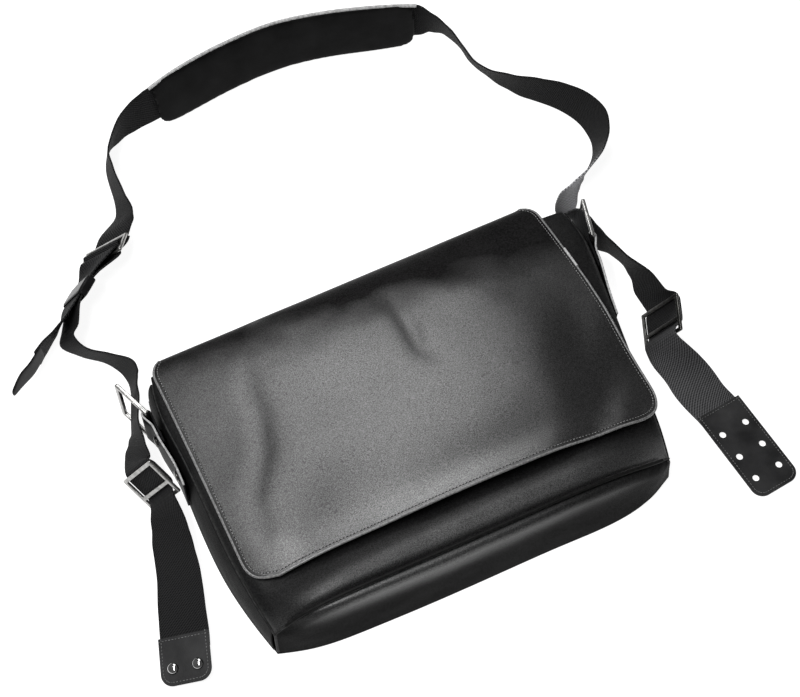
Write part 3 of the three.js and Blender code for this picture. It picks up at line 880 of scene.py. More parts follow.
def thicken(made: bpy.types.Object, thick: float, offset: float = -1.0, edge: float = 0.5 * MM) -> None:
    """Gives a sheet its thickness and rounds its cut edge.

    Args:
        made: the sheet.
        thick: its thickness.
        offset: -1 to grow inwards, 0 to both sides.
        edge: the size of the rounding.
    """
    wall = made.modifiers.new("thickness", "SOLIDIFY")
    wall.thickness = thick
    wall.offset = offset
    rim = made.modifiers.new("rim", "BEVEL")
    rim.width = edge
    rim.segments = 2
    rim.limit_method = "ANGLE"
    rim.angle_limit = math.radians(60)
    rim.harden_normals = False


# Strap routes


@dataclass(frozen=True)
class Row:
    """A station of a strap, in mm: its lower edge in plan, its height, and the way to its upper edge."""

    x: float
    y: float
    lift: float
    to_x: float
    to_y: float


@dataclass(frozen=True)
class Station:
    """A point on a strap's middle line, in mm, the direction across it, and its share of the full width."""

    at: Vector
    across: Vector
    wide: float = 1.0


@dataclass(frozen=True)
class Plate:
    """A buckle or slider on a strap: its middle, in mm, and its heading, pitch and lean, in degrees."""

    x: float
    y: float
    z: float
    heading: float
    pitch: float
    lean: float

    def axes(self) -> tuple[Vector, Vector, Vector]:
        """The plate's directions.

        Returns:
            Across the strap, along it, and out of the plate's upper face.
        """
        turn, rise, roll = (math.radians(a) for a in (self.heading, self.pitch, self.lean))
        along = Vector((math.cos(turn) * math.cos(rise), math.sin(turn) * math.cos(rise), math.sin(rise)))
        right = Vector((math.sin(turn), -math.cos(turn), 0.0))
        above = right.cross(along)
        across = right * math.cos(roll) + above * math.sin(roll)
        return across, along, along.cross(across)

    def station(self, s: float, n: float, wide: float = 1.0) -> Station:
        """A station at s along the plate and n out of it."""
        across, along, out = self.axes()
        return Station(Vector((self.x, self.y, self.z)) + along * s + out * n, across, wide)


@dataclass(frozen=True)
class StrapSizes:
    """Sizes of the webbing and of the plates that it runs through, in mm."""

    width: float = 48.0
    thick: float = 1.8
    pad_width: float = 66.0
    behind_pad: float = 6.2
    face_clear: float = 3.9
    turn_radius: float = 4.4
    cross_bars: tuple = (-18.5, 6.0, 18.5)
    buckle_bars: tuple = (-12.0, 0.0, 12.0)
    under_layer: float = 6.9
    keeper_layer: float = 1.65
    keeper_reach: float = 15.0
    edge: float = 0.45


BUCKLE = Plate(-201, 321.5, 26, 237, 18, 142)
LEFT_SLIDER = Plate(-254, 47, 36, 297, -28, 107)
RIGHT_SLIDER = Plate(275, -1, 29, 247, -5, 120)
KEEPER = Plate(-241, 285, 27, 222, 0, 120)

FREE_END = (
    Row(-304, 239, 0.6, -2, -13),
    Row(-296, 247, 0.6, -1, -14),
    Row(-280, 262, 0.6, 2, -18),
    Row(-270, 274, 1, 8, -19),
)
LEFT_LOOP = (
    Row(-272, 263, 0.6, 17, -20),
    Row(-278, 250, 0.6, 14, -19),
    Row(-264, 231, 0.6, 7, -21),
    Row(-245, 214, 0.6, 7, -20),
    Row(-234, 196, 0.6, 12, -17),
    Row(-231, 178, 1.5, 10, -12),
    Row(-234, 163, 4, 10, -6),
    Row(-240, 147, 6.2, 12, 0),
    Row(-245, 134, 6.2, 14, 0),
    Row(-249, 122, 8, 8, -12),
    Row(-256, 110, 13, 12, -25),
    Row(-264, 96, 19, 19, -28),
)
LEFT_CROSS = (
    Row(-268, 22, 2, 30, -24),
    Row(-275, 2, 0.6, 35, -23),
    Row(-282, -26, 0.6, 38, -21),
    Row(-294, -60, 0.6, 42, -17),
    Row(-303, -88, 0.6, 44, -15),
    Row(-307, -100, 0.6, 44, -15),
)
LEFT_RUN = (
    Row(-198, 351, 6, 35, -15),
    Row(-171, 374, 0.6, 14, -26),
    Row(-164, 400, 0.6, 7, -26),
    Row(-160, 430, 0.6, 4, -24),
    Row(-149, 456, 0.6, -2, -23),
    Row(-129, 468, 1, 5, -4),
    Row(-108, 472, 3, 6, 4),
)
PAD_ROUTE = (
    Row(-84, 464, 0.6, -4, 8),
    Row(-41, 471, 0.6, -2, 12),
    Row(7, 479, 0.6, -1, 12),
    Row(65, 483, 0.6, -1, 11),
    Row(118, 476, 0.6, -1, 9),
    Row(170, 462, 0.6, -1, 8),
    Row(222, 449, 0.6, -2, 4),
)
RIGHT_RUN = (
    Row(241, 456, 5, -5, -14),
    Row(254, 448, 2, -8, -24),
    Row(262, 424, 0.6, -12, -26),
    Row(263, 401, 0.6, -11, -27),
    Row(269, 381, 0.6, -9, -26),
    Row(280, 354, 0.6, -2, -20),
    Row(294, 331, 0.6, 8, -15),
    Row(311, 312, 0.6, 12, -13),
    Row(326, 289, 0.6, 14, -12),
    Row(333, 264, 0.6, 14, -13),
    Row(330, 238, 0.6, 8, -13),
    Row(319, 221, 0.6, 1, -17),
    Row(305, 210, 0.6, -9, -20),
    Row(297, 202, 0.6, -25, -19),
    Row(288, 193, 0.6, -33, -14),
    Row(279, 180, 1.5, -35, -12),
    Row(268, 165, 4, -30, -13),
    Row(258, 144, 6.2, -2, -2),
    Row(261, 130, 6.2, 0, 0),
    Row(269, 118, 4, -5, -2),
    Row(279, 108, 2, -11, -7),
    Row(285, 93, 1, -9, -17),
    Row(284, 73, 3, 6, -27),
    Row(277, 50, 6, 14, -25),
)
RIGHT_CROSS = (
    Row(255, -48, 1, 42, -15),
    Row(256, -74, 0.6, 47, -7),
    Row(262, -103, 0.6, 48, 5),
    Row(264, -115, 0.6, 48, 5),
)


def stations(rows: Sequence[Row], width: float, thick: float) -> list[Station]:
    """Stations of a strap from its lower edge.

    Args:
        rows: the lower edge and the way to the upper edge.
        width: the strap's width.
        thick: its thickness.

    Returns:
        A station for each row.
    """
    found = []
    for row in rows:
        across = Vector((row.to_x, row.to_y, 0.0))
        across *= min(1.0, width / max(across.length, 1e-9))
        flat = across.length / width
        across.z = width * math.sqrt(max(0.0, 1.0 - flat**2))
        at = Vector((row.x, row.y, row.lift + 0.5 * thick * flat))
        found.append(Station(at + 0.5 * across, across.normalized()))
    return found


def hermite(a: Vector, b: Vector, leave: Vector, arrive: Vector, t: float) -> Vector:
    """A point on the cubic from a to b that leaves and arrives with the given slopes.

    Args:
        a: where it starts.
        b: where it ends.
        leave: its slope at the start.
        arrive: its slope at the end.
        t: how far along it the point is, from 0 to 1.

    Returns:
        The point.
    """
    square, cube = t**2, t**3
    ends = a * (2 * cube - 3 * square + 1) + b * (3 * square - 2 * cube)
    return ends + leave * (cube - 2 * square + t) + arrive * (cube - square)


def smooth_line(points: Sequence[Vector], steps: int) -> list[Vector]:
    """A smooth curve through points, which bends by the distances between them.

    Args:
        points: the points.
        steps: how many steps lead from each point to the next.

    Returns:
        Points along the curve.
    """
    padded = [2 * points[0] - points[1], *points, 2 * points[-1] - points[-2]]
    line = []
    for p0, p1, p2, p3 in zip(padded, padded[1:], padded[2:], padded[3:]):
        before, here, after = (max((b - a).length, 1e-6) ** 0.5 for a, b in ((p0, p1), (p1, p2), (p2, p3)))
        leave = (p1 - p0) / before - (p2 - p0) / (before + here) + (p2 - p1) / here
        arrive = (p2 - p1) / here - (p3 - p1) / (here + after) + (p3 - p2) / after
        line += [hermite(p1, p2, leave * here, arrive * here, k / steps) for k in range(steps)]
    return [*line, points[-1]]


def slack_line(values: Sequence[Vector], steps: int, tension: float = 0.1) -> list[Vector]:
    """Directions between stations, with little overshoot.

    Args:
        values: the stations' directions.
        steps: how many steps lead from each to the next.
        tension: how far a direction swings before it turns to the next.

    Returns:
        A direction for each step.
    """
    padded = [2 * values[0] - values[1], *values, 2 * values[-1] - values[-2]]
    line = []
    for p0, p1, p2, p3 in zip(padded, padded[1:], padded[2:], padded[3:]):
        line += [hermite(p1, p2, (p2 - p0) * tension, (p3 - p1) * tension, k / steps) for k in range(steps)]
    return [*line, values[-1]]


@dataclass(frozen=True)
class Fading:
    """Where a painted highlight lies on the webbing: at the bend by the right ring, and up to the hole tab.
    """

    bend: tuple = (0.274, 0.188)
    bend_reach: float = 30 * MM
    cross_reach: float = 30 * MM
    cross_share: float = 0.14
    left_share: float = 0.03

    def at(self, place: Vector) -> float:
        """How much painted highlight the webbing has at a point.

        Args:
            place: the point, in metres.

        Returns:
            The share of the full painted highlight.
        """
        away = math.hypot(place.x - self.bend[0], place.y - self.bend[1])
        cross = clamped(-place.y / self.cross_reach) if place.x > 0 else self.left_share
        return bell(away, self.bend_reach) + self.cross_share * cross


@dataclass
class Straps:
    """The webbing: two lengths that run through the hardware."""

    finishes: Finishes
    sizes: StrapSizes = StrapSizes()
    fading: Fading = Fading()
    columns: int = 8
    steps: int = 5

    def in_slider(self, plate: Plate) -> list[Station]:
        """Webbing that passes below a slider's first two bars and up before its last.

        Args:
            plate: the slider.

        Returns:
            Stations through the slider.
        """
        first, middle, last = self.sizes.cross_bars
        clear = self.sizes.face_clear
        spread = 1.13
        steps = (
            (first - 4, -clear, 1.0),
            (first + 3, -clear, spread),
            (middle - 3, -clear, spread),
            (middle + 2, -clear + 0.3, 1.1),
            ((middle + last) / 2, 0.0, 1.0),
            (last - 2, clear - 0.3, 1.0),
        )
        return [plate.station(s, n, wide) for s, n, wide in steps]

    def round_bar(self, plate: Plate, bar: float, start: float, end: float) -> list[Station]:
        """Webbing folded round a bar, from one angle to another in degrees.

        Args:
            plate: the buckle.
            bar: where its bar is, along the plate.
            start: the first angle.
            end: the last angle.

        Returns:
            Five stations round the bar.
        """
        radius = self.sizes.turn_radius
        angles = (math.radians(start + (end - start) * k / 4) for k in range(5))
        return [plate.station(bar + radius * math.cos(a), radius * math.sin(a)) for a in angles]

    def behind_pad(self) -> list[Station]:
        """Webbing along the back of the shoulder pad.

        Returns:
            A station for each row of the pad.
        """
        route = stations(PAD_ROUTE, self.sizes.pad_width, self.sizes.thick)
        found = []
        for index, here in enumerate(route):
            before = route[max(index - 1, 0)].at
            after = route[min(index + 1, len(route) - 1)].at
            outward = here.across.cross(after - before).normalized()
            found.append(Station(here.at + outward * self.sizes.behind_pad, here.across))
        return found

    def right_route(self) -> list[Station]:
        """Buckle, pad, right ring, right slider, hole tab.

        Returns:
            The stations of the right length.
        """
        size = self.sizes
        first, middle, _ = size.buckle_bars
        return [
            BUCKLE.station(first - 8, -size.under_layer),
            BUCKLE.station(first, -size.under_layer),
            *self.round_bar(BUCKLE, middle, -90, 90),
            BUCKLE.station(first, -size.face_clear),
            *stations(LEFT_RUN, size.width, size.thick),
            *self.behind_pad(),
            *stations(RIGHT_RUN, size.width, size.thick),
            *self.in_slider(RIGHT_SLIDER),
            RIGHT_SLIDER.station(size.cross_bars[-1] + 5, size.face_clear),
            *stations(RIGHT_CROSS, size.width, size.thick),
        ]

    def left_route(self) -> list[Station]:
        """Free end, keeper, buckle, keeper, left ring, left slider, stud tab.

        Returns:
            The stations of the left length.
        """
        size = self.sizes
        return [
            *stations(FREE_END, size.width, size.thick),
            KEEPER.station(size.keeper_reach, size.keeper_layer),
            KEEPER.station(-size.keeper_reach, size.keeper_layer),
            *self.round_bar(BUCKLE, size.buckle_bars[-1], 90, 270),
            KEEPER.station(-size.keeper_reach, -size.keeper_layer),
            KEEPER.station(size.keeper_reach, -size.keeper_layer),
            *stations(LEFT_LOOP, size.width, size.thick),
            *self.in_slider(LEFT_SLIDER),
            *stations(LEFT_CROSS, size.width, size.thick),
        ]

    def band(self, route: Sequence[Station]) -> bmesh.types.BMesh:
        """The middle surface of webbing along a route.

        Args:
            route: the stations, in mm.

        Returns:
            A sheet in metres with a UV map across and along it.
        """
        middle = smooth_line([s.at for s in route], self.steps)
        across = slack_line([s.across for s in route], self.steps)
        travelled = [0.0]
        for a, b in zip(middle, middle[1:]):
            travelled.append(travelled[-1] + (b - a).length)
        shape = bmesh.new()
        layer = shape.loops.layers.uv.verify()
        bmesh.ops.create_grid(
            shape, x_segments=self.columns, y_segments=len(middle) - 1, size=0.5, calc_uvs=True
        )
        last = len(middle) - 1
        width = self.sizes.width
        shares = [Vector((s.wide, 0.0)) for s in route]
        wides = [share.x for share in slack_line(shares, self.steps)]
        for vert in shape.verts:
            index = round((vert.co.y + 0.5) * last)
            aside = vert.co.x * width * wides[index]
            vert.co = (middle[index] + across[index].normalized() * aside) * MM
        for face in shape.faces:
            for loop in face.loops:
                u, v = loop[layer].uv
                loop[layer].uv = (u * width * MM, travelled[round(v * last)] * MM)
        # On the webbing the attribute carries a painted highlight, not wear.
        add_wear_and_painted_light(shape, self.fading.at)
        shape.normal_update()
        return shape

    def build(self) -> None:
        """Makes both lengths."""
        for name, route in (("right", self.right_route()), ("left", self.left_route())):
            node = f"strap_{name}"
            made = piece(self.band(route), f"webbing_{name}", self.finishes.webbing, Slot.WEBBING, [node])
            thicken(made, self.sizes.thick * MM, 0.0, self.sizes.edge * MM)


# The bag itself


@dataclass(frozen=True)
class Crease:
    """A crease along points in plan, in mm, that fades out at both ends."""

    points: tuple
    reach: float
    depth: float

    def at(self, place: Vector) -> float:
        """The crease's height over a point, in metres.

        Args:
            place: the point, in metres.

        Returns:
            A height below 0.
        """
        here = Vector((place.x, place.y)) / MM
        corners = [Vector(p) for p in self.points]
        lengths = [(b - a).length for a, b in zip(corners, corners[1:])]
        nearest, share, travelled = math.inf, 0.0, 0.0
        for a, b, length in zip(corners, corners[1:], lengths):
            part = clamped((here - a).dot(b - a) / length**2)
            away = (here - a.lerp(b, part)).length
            if away < nearest:
                nearest, share = away, (travelled + part * length) / sum(lengths)
            travelled += length
        fade = math.sin(math.pi * (0.06 + 0.88 * share)) ** 1.2
        return -self.depth * MM * fade * bell(nearest, self.reach)


@dataclass(frozen=True)
class Tuck:
    """How part of a wall's border turns into a seam.

    It holds which points do so, and how a point moves that lies at a distance from them, in mm. Where the
    seam's ends are given, as a distance along X in metres, the moves die out towards them.
    """

    along: Callable[[Vector], bool]
    move: Callable[[float], tuple]
    ends: float = 0.0

    def at(self, place: Vector, away: float) -> Vector:
        """The move of a point that is some way from the seam, less towards the seam's ends."""
        share = 1.0 - min(1.0, abs(place.x) / self.ends) ** 8 if self.ends else 1.0
        return Vector(self.move(away / MM)) * (MM * share)


def dip(x: float, y: float, z: float, reach: float) -> Callable[[float], tuple]:
    """A border that sinks by x, y and z and levels out within a reach, all in mm."""
    return lambda away: tuple(move * bell(away, reach) for move in (x, y, z))


@dataclass(frozen=True)
class FrontShape:
    """The front wall below the flap: a hollow, and a worn roll above the base seam, in metres."""

    roll_height: float = 3.0 * MM
    roll_at: float = -137 * MM
    roll_width: float = 11 * MM
    hollow_depth: float = 7.0 * MM
    hollow_at: float = -100 * MM
    hollow_width: float = 16 * MM
    hollow_widening: float = 6 * MM
    half_width: float = 205 * MM
    plain_wear: float = 0.09
    wear: float = 0.8
    wear_at: float = -142 * MM
    wear_width: float = 14 * MM

    def swell(self, place: Vector) -> float:
        """How far the wall stands out at a point.

        Args:
            place: the point, in metres.

        Returns:
            The distance along the wall's normal.
        """
        wide = self.hollow_width + self.hollow_widening * clamped(-place.x / (150 * MM))
        roll = self.roll_height * bell(place.y - self.roll_at, self.roll_width)
        hollow = self.hollow_depth * bell(place.y - self.hollow_at, wide)
        return (roll - hollow) * max(0.0, 1.0 - (abs(place.x) / self.half_width) ** 6)

    def wear_and_painted_light(self, place: Vector) -> float:
        """How worn the wall is at a point, less towards the left end."""
        left = 0.3 + 0.7 * clamped((place.x + 170 * MM) / (140 * MM))
        return self.plain_wear + self.wear * left * bell(place.y - self.wear_at, self.wear_width)


@dataclass(frozen=True)
class BaseShape:
    """The base's upper edge, which rolls over into the seam, in mm, and its worn crest, in metres."""

    depth: float = 14.0
    turn: float = math.radians(120)
    tuck: float = 1.5
    bulge: float = 9.0
    bulge_reach: float = 30.0
    lift: float = 6.5
    lift_reach: float = 26.0
    crest: float = 78 * MM
    crest_width: float = 13 * MM

    def shoulder(self, away: float) -> tuple:
        """The move of a point at a distance from the seam.

        Args:
            away: the distance.

        Returns:
            The move in x, y and z.
        """
        radius = self.depth / self.turn
        angle = self.turn * max(0.0, 1.0 - away / self.depth)
        inward = radius * (1.0 - math.cos(angle)) - self.tuck * angle / self.turn
        inward -= self.bulge * bell(away, self.bulge_reach)
        rise = radius * math.sin(angle) - self.depth + min(away, self.depth)
        rise += self.lift * bell(away, self.lift_reach)
        return 0.0, inward, rise

    def wear_and_painted_light(self, place: Vector) -> float:
        """How worn the base is at a point, less towards both ends.

        Args:
            place: the point, in metres.

        Returns:
            The wear, from 0 to 1.
        """
        right = 0.25 + 0.75 * clamped((100 * MM - place.x) / (150 * MM))
        left = 1.0 - 0.5 * clamped((-110 * MM - place.x) / (60 * MM))
        return right * left * bell(self.crest - place.z, self.crest_width)


def near_to(points: Sequence[Vector]) -> KDTree:
    """A search tree of points.

    Args:
        points: the points.

    Returns:
        The tree, whose finds give their numbers.
    """
    tree = KDTree(len(points))
    for index, point in enumerate(points):
        tree.insert(point, index)
    tree.balance()
    return tree


@dataclass
class BagBody:
    """The canvas walls of the bag and their seams."""

    finishes: Finishes
    front_shape: FrontShape = FrontShape()
    base_shape: BaseShape = BaseShape()
    wall: float = 2.0 * MM
    welt: float = 1.1 * MM
    corner_welt: float = 1.6 * MM
    # Painted shade: the black cord in the base seam, its radius and its offset in mm.
    seam_shade_cord: float = 1.8 * MM
    seam_shade_cord_offset: tuple = (0.0, -1.6, 4.2)
    seam_middle: float = -4 * MM
    waves: tuple = ((22.0, 0.8 * MM), (55.0, 0.3 * MM))
    calm_border: float = 20 * MM

    def panel(
        self,
        node: str,
        towards: Vector,
        flat: Callable[[Vector], tuple],
        levels: int,
        tucks: Sequence[Tuck] = (),
        swell: Callable[[Vector], float] = lambda place: 0.0,
        wear_and_painted_light: Callable[[Vector], float] = lambda place: 0.0,
    ) -> list[Vector]:
        """Dresses one wall.

        Args:
            node: the wall's solid.
            towards: the way that its outer face looks.
            flat: its UV map.
            levels: how finely it is divided.
            tucks: how its border turns into its seams.
            swell: how far it stands out at a point, in metres.
            wear_and_painted_light: how worn it is at a point, from 0 to 1.

        Returns:
            The dressed wall's border in order.
        """
        shape = smoothed(outer_face(node, towards), levels)
        loop = [v.co.copy() for v in border(shape)]
        edge = near_to(loop)
        seams = [(tuck, near_to([p for p in loop if tuck.along(p)])) for tuck in tucks]
        moves = []
        for vert in shape.verts:
            turns = (tuck.at(vert.co, seam.find(vert.co)[2]) for tuck, seam in seams)
            moves.append(sum(turns, ORIGIN))

        def relief(place: Vector) -> float:
            """The swell and slight unevenness, none at the border."""
            height = uneven(place, self.waves) + swell(place)
            return height * min(1.0, edge.find(place)[2] / self.calm_border)

        add_wear_and_painted_light(shape, wear_and_painted_light)
        press(shape, relief)
        for vert, move in zip(shape.verts, moves):
            vert.co += move
        shape.normal_update()
        lay_uv(shape, flat)
        loop = [v.co.copy() for v in border(shape)]
        made = piece(shape, f"{node}_canvas", self.finishes.body, Slot.CANVAS, [node])
        thicken(made, self.wall)
        return loop

    def along_base(self, reach: float) -> Callable[[Vector], bool]:
        """Whether a point is within a reach of the base seam's middle, along X."""
        return lambda p: abs(p.x - self.seam_middle) < reach

    def front(self) -> list[Vector]:
        """Makes the front wall, and a black cord in the base seam that paints the shade of its groove.

        Returns:
            The wall's border in order.
        """
        near_base, near_cord = self.along_base(198 * MM), self.along_base(194 * MM)
        tucks = [
            Tuck(lambda p: p.y < -130 * MM and near_base(p), dip(0, 1.5, -5.0, 3.4), 210 * MM),
            Tuck(lambda p: p.x < -200 * MM and p.y > -140 * MM, dip(1.0, 0, -1.2, 3.0)),
            Tuck(lambda p: p.x > 190 * MM and p.y > -140 * MM, dip(-1.0, 0, -1.2, 3.0)),
        ]
        shape = self.front_shape
        loop = self.panel("front_panel", UP, lambda p: (p.x, p.y), 3, tucks, shape.swell, shape.wear_and_painted_light)
        line = stretch_of(loop, lambda p: p.y < -120 * MM and near_cord(p))
        # Painted shade: a black cord laid in the base seam's groove to darken it.
        groove = [p + Vector(self.seam_shade_cord_offset) * MM for p in line]
        piece(tube(groove, self.seam_shade_cord), "base_seam_painted_shade", self.finishes.painted_seam_shade, Slot.CANVAS)
        return loop

    def base(self) -> list[Vector]:
        """Makes the base.

        Returns:
            Its border in order.
        """
        near_middle = self.along_base(200 * MM)
        shape = self.base_shape
        tucks = [Tuck(lambda p: p.z > 30 * MM and near_middle(p), shape.shoulder, 207 * MM)]
        towards = Vector((0, -1, 0))
        return self.panel("base_panel", towards, lambda p: (p.x, p.z), 3, tucks, wear_and_painted_light=shape.wear_and_painted_light)

    def build(self) -> None:
        """Makes the five walls and the welts of their seams."""
        front = self.front()
        self.panel("back_panel", -UP, lambda p: (p.x, p.y), 2)
        base = self.base()
        for side in Side:
            towards = Vector((side.value, 0, 0))
            loop = self.panel(f"side_gusset_{side.word}", towards, lambda p: (p.y, p.z), 3)
            self.seams(side, front, base, loop)

    def seams(
        self, side: Side, front: Sequence[Vector], base: Sequence[Vector], gusset: Sequence[Vector]
    ) -> None:
        """Lays the welts of one side: along the front, down the end of the base, and along the ground.

        Args:
            side: which side.
            front: the front wall's border.
            base: the base wall's border.
            gusset: the side wall's border.
        """
        out = side.value
        lip = stretch_of(front, lambda p: p.x * out > 185 * MM and -146 * MM < p.y < 140 * MM)
        end = stretch_of(base, lambda p: p.x * out > 196 * MM and 4 * MM < p.z)
        foot = stretch_of(gusset, lambda p: p.z < 6 * MM)
        for name, line, offset, radius in (
            ("front", lip, (0.3 * out, 0, -0.6), self.welt),
            ("corner", end, (-0.6 * out, 0.8, 0), self.corner_welt),
            ("ground", foot, (-0.6 * out, 0, 0), self.welt),
        ):
            cord = tube([p + Vector(offset) * MM for p in line], radius)
            piece(cord, f"{name}_welt_{side.word}", self.finishes.welt, Slot.CANVAS)


@dataclass
class Flap:
    """The waxed canvas flap with its bound edge and stitching."""

    finishes: Finishes
    wall: float = 2.2 * MM
    roll: float = 1.4 * MM
    stitch_inset: float = 3.6 * MM
    stitch_pitch: float = 3.4 * MM
    groove: float = 0.55 * MM
    groove_depth: float = 0.32 * MM
    # Painted highlight: the radius of the pale cord along part of the right edge.
    painted_glint_radius: float = 1.3 * MM
    half_width: float = 211 * MM
    corners: tuple = ((Side.LEFT, 15 * MM), (Side.RIGHT, 13 * MM))
    narrowest: float = 0.25
    flat: tuple = (0.422, 0.345)
    waves: tuple = ((18.0, 0.25 * MM), (48.0, 0.12 * MM))
    worn_hem: tuple = (5 * MM, -92 * MM)
    worn_reach: tuple = (100 * MM, 14 * MM)
    creases: tuple = (
        Crease(((-125, 120), (-137, 83), (-139, 50), (-151, 12), (-177, -30), (-186, -86)), 11.0, 2.0),
        Crease(((30, 120), (30, 76), (28, 50), (36, 26)), 10.0, 2.7),
    )

    def relief(self, place: Vector) -> float:
        """Creases and slight unevenness of the cloth."""
        return uneven(place, self.waves) + sum(crease.at(place) for crease in self.creases)

    def wear(self, place: Vector) -> float:
        """How worn the flap is at a point: most at the middle of its hem."""
        aside, above = place.x - self.worn_hem[0], place.y - self.worn_hem[1]
        return bell(aside, self.worn_reach[0]) * bell(above, self.worn_reach[1])

    def round_corners(self, shape: bmesh.types.BMesh) -> None:
        """Rounds the two corners at the top fold, seen from in front and above.

        Args:
            shape: the flap's sheet.
        """
        def height(vert: bmesh.types.BMVert) -> float:
            """How far up the fold a point lies in that view."""
            return 0.87 * vert.co.y + 0.5 * vert.co.z

        for side, radius in self.corners:
            start = self.half_width - radius
            ends = [v for v in shape.verts if v.co.x * side.value > start]
            crest = max(ends, key=height)
            top, turned = height(crest), crest.co.z
            for vert in ends:
                behind = vert.co.z < turned and vert.co.y > 0
                up = radius if behind else max(0.0, height(vert) - top + radius)
                share = max(self.narrowest, math.sqrt(max(0.0, 1.0 - (up / radius) ** 2)))
                vert.co.x = side.value * (start + (vert.co.x * side.value - start) * share)

    def edging(self, shape: bmesh.types.BMesh, name: str, material: bpy.types.Material) -> bpy.types.Object:
        """Makes a piece that goes with the flap."""
        return piece(shape, name, material, Slot.FLAP_CANVAS)

    def build(self) -> None:
        """Makes the flap, its bound edge and its stitches, and a pale cord on its right edge that is a
        painted highlight.
        """
        shape = smoothed(outer_face("flap", UP), 2)
        press(shape, self.relief)
        self.round_corners(shape)
        shape.normal_update()
        lay_uv(shape, lambda p: (p.x, p.y - p.z))
        add_wear_and_painted_light(shape, self.wear)
        tree = BVHTree.FromBMesh(shape)
        edge = stretch_of([v.co.copy() for v in border(shape)], lambda p: p.z > 12 * MM)
        made = piece(shape, "flap_canvas", self.finishes.flap, Slot.FLAP_CANVAS, ["flap"])
        thicken(made, self.wall)
        seam = seam_along(edge, tree, self.stitch_inset, self.stitch_pitch, ORIGIN)
        sunk = [at - normal * self.groove_depth for at, _, normal in seam]
        # Painted highlight: a pale cord along part of the right edge, where light glints on the edge.
        glint = stretch_of(edge, lambda p: p.x > 190 * MM and 68 * MM < p.y < 98 * MM)
        pale = [p + Vector((0.3, 0, 0.3)) * MM for p in glint]
        # The bound edge is real; its pale grey also paints the light caught on its rim.
        bound = [p - UP * (0.4 * self.wall) for p in edge]
        finish = self.finishes
        trim = [
            self.edging(tube(sunk, self.groove, 6), "flap_seam", finish.seam_line),
            self.edging(tube(pale, self.painted_glint_radius), "flap_painted_glint", finish.edge),
            self.edging(stitches(seam), "flap_stitches", finish.stitch),
            self.edging(tube(bound, self.roll), "flap_bound_edge", finish.binding),
        ]


@dataclass
class Hardware:
    """Rings, sliders, buckle, rivets and studs."""

    finishes: Finishes
    bevel: float = 0.35 * MM
    rivet_scale: float = 1.35
    stud_scale: float = 1.15

    def plate(self, node: str, material: bpy.types.Material) -> None:
        """Rounds the edges of a cast frame.

        Args:
            node: the solid's name.
            material: its finish.
        """
        shape = node_shape(node)
        bmesh.ops.dissolve_limit(
            shape, angle_limit=math.radians(2), verts=shape.verts, edges=shape.edges
        )
        sharp = sharp_edges(shape, 25)
        bmesh.ops.bevel(
            shape, geom=sharp, offset=self.bevel, segments=2, profile=0.5, affect="EDGES", material=-1
        )
        piece(shape, f"{node}_cast", material, Slot.METAL, [node], math.radians(35))

    def dome(self, node: str, material: bpy.types.Material, scale: float) -> None:
        """Rounds the head of a rivet or stud, and scales it about its middle.

        Args:
            node: the solid's name.
            material: its finish.
            scale: how many times larger the head becomes.
        """
        shape = smoothed(node_shape(node), 2)
        middle = sum((v.co for v in shape.verts), ORIGIN) / len(shape.verts)
        bmesh.ops.scale(shape, vec=(scale,) * 3, space=Matrix.Translation(-middle), verts=shape.verts)
        piece(shape, f"{node}_head", material, Slot.METAL, [node])

    def build(self) -> None:
        """Makes all the metal."""
        metal = self.finishes
        for node in ("ring_left", "ring_right", "cross_slider_left", "strap_buckle"):
            self.plate(node, metal.nickel)
        self.plate("cross_slider_right", metal.gunmetal)
        for side in Side:
            self.dome(f"rivet_{side.word}_upper", metal.gunmetal, self.rivet_scale)
            self.dome(f"rivet_{side.word}_lower", metal.nickel, self.rivet_scale)
            self.dome(f"stud_{side.word}", metal.chrome, self.stud_scale)


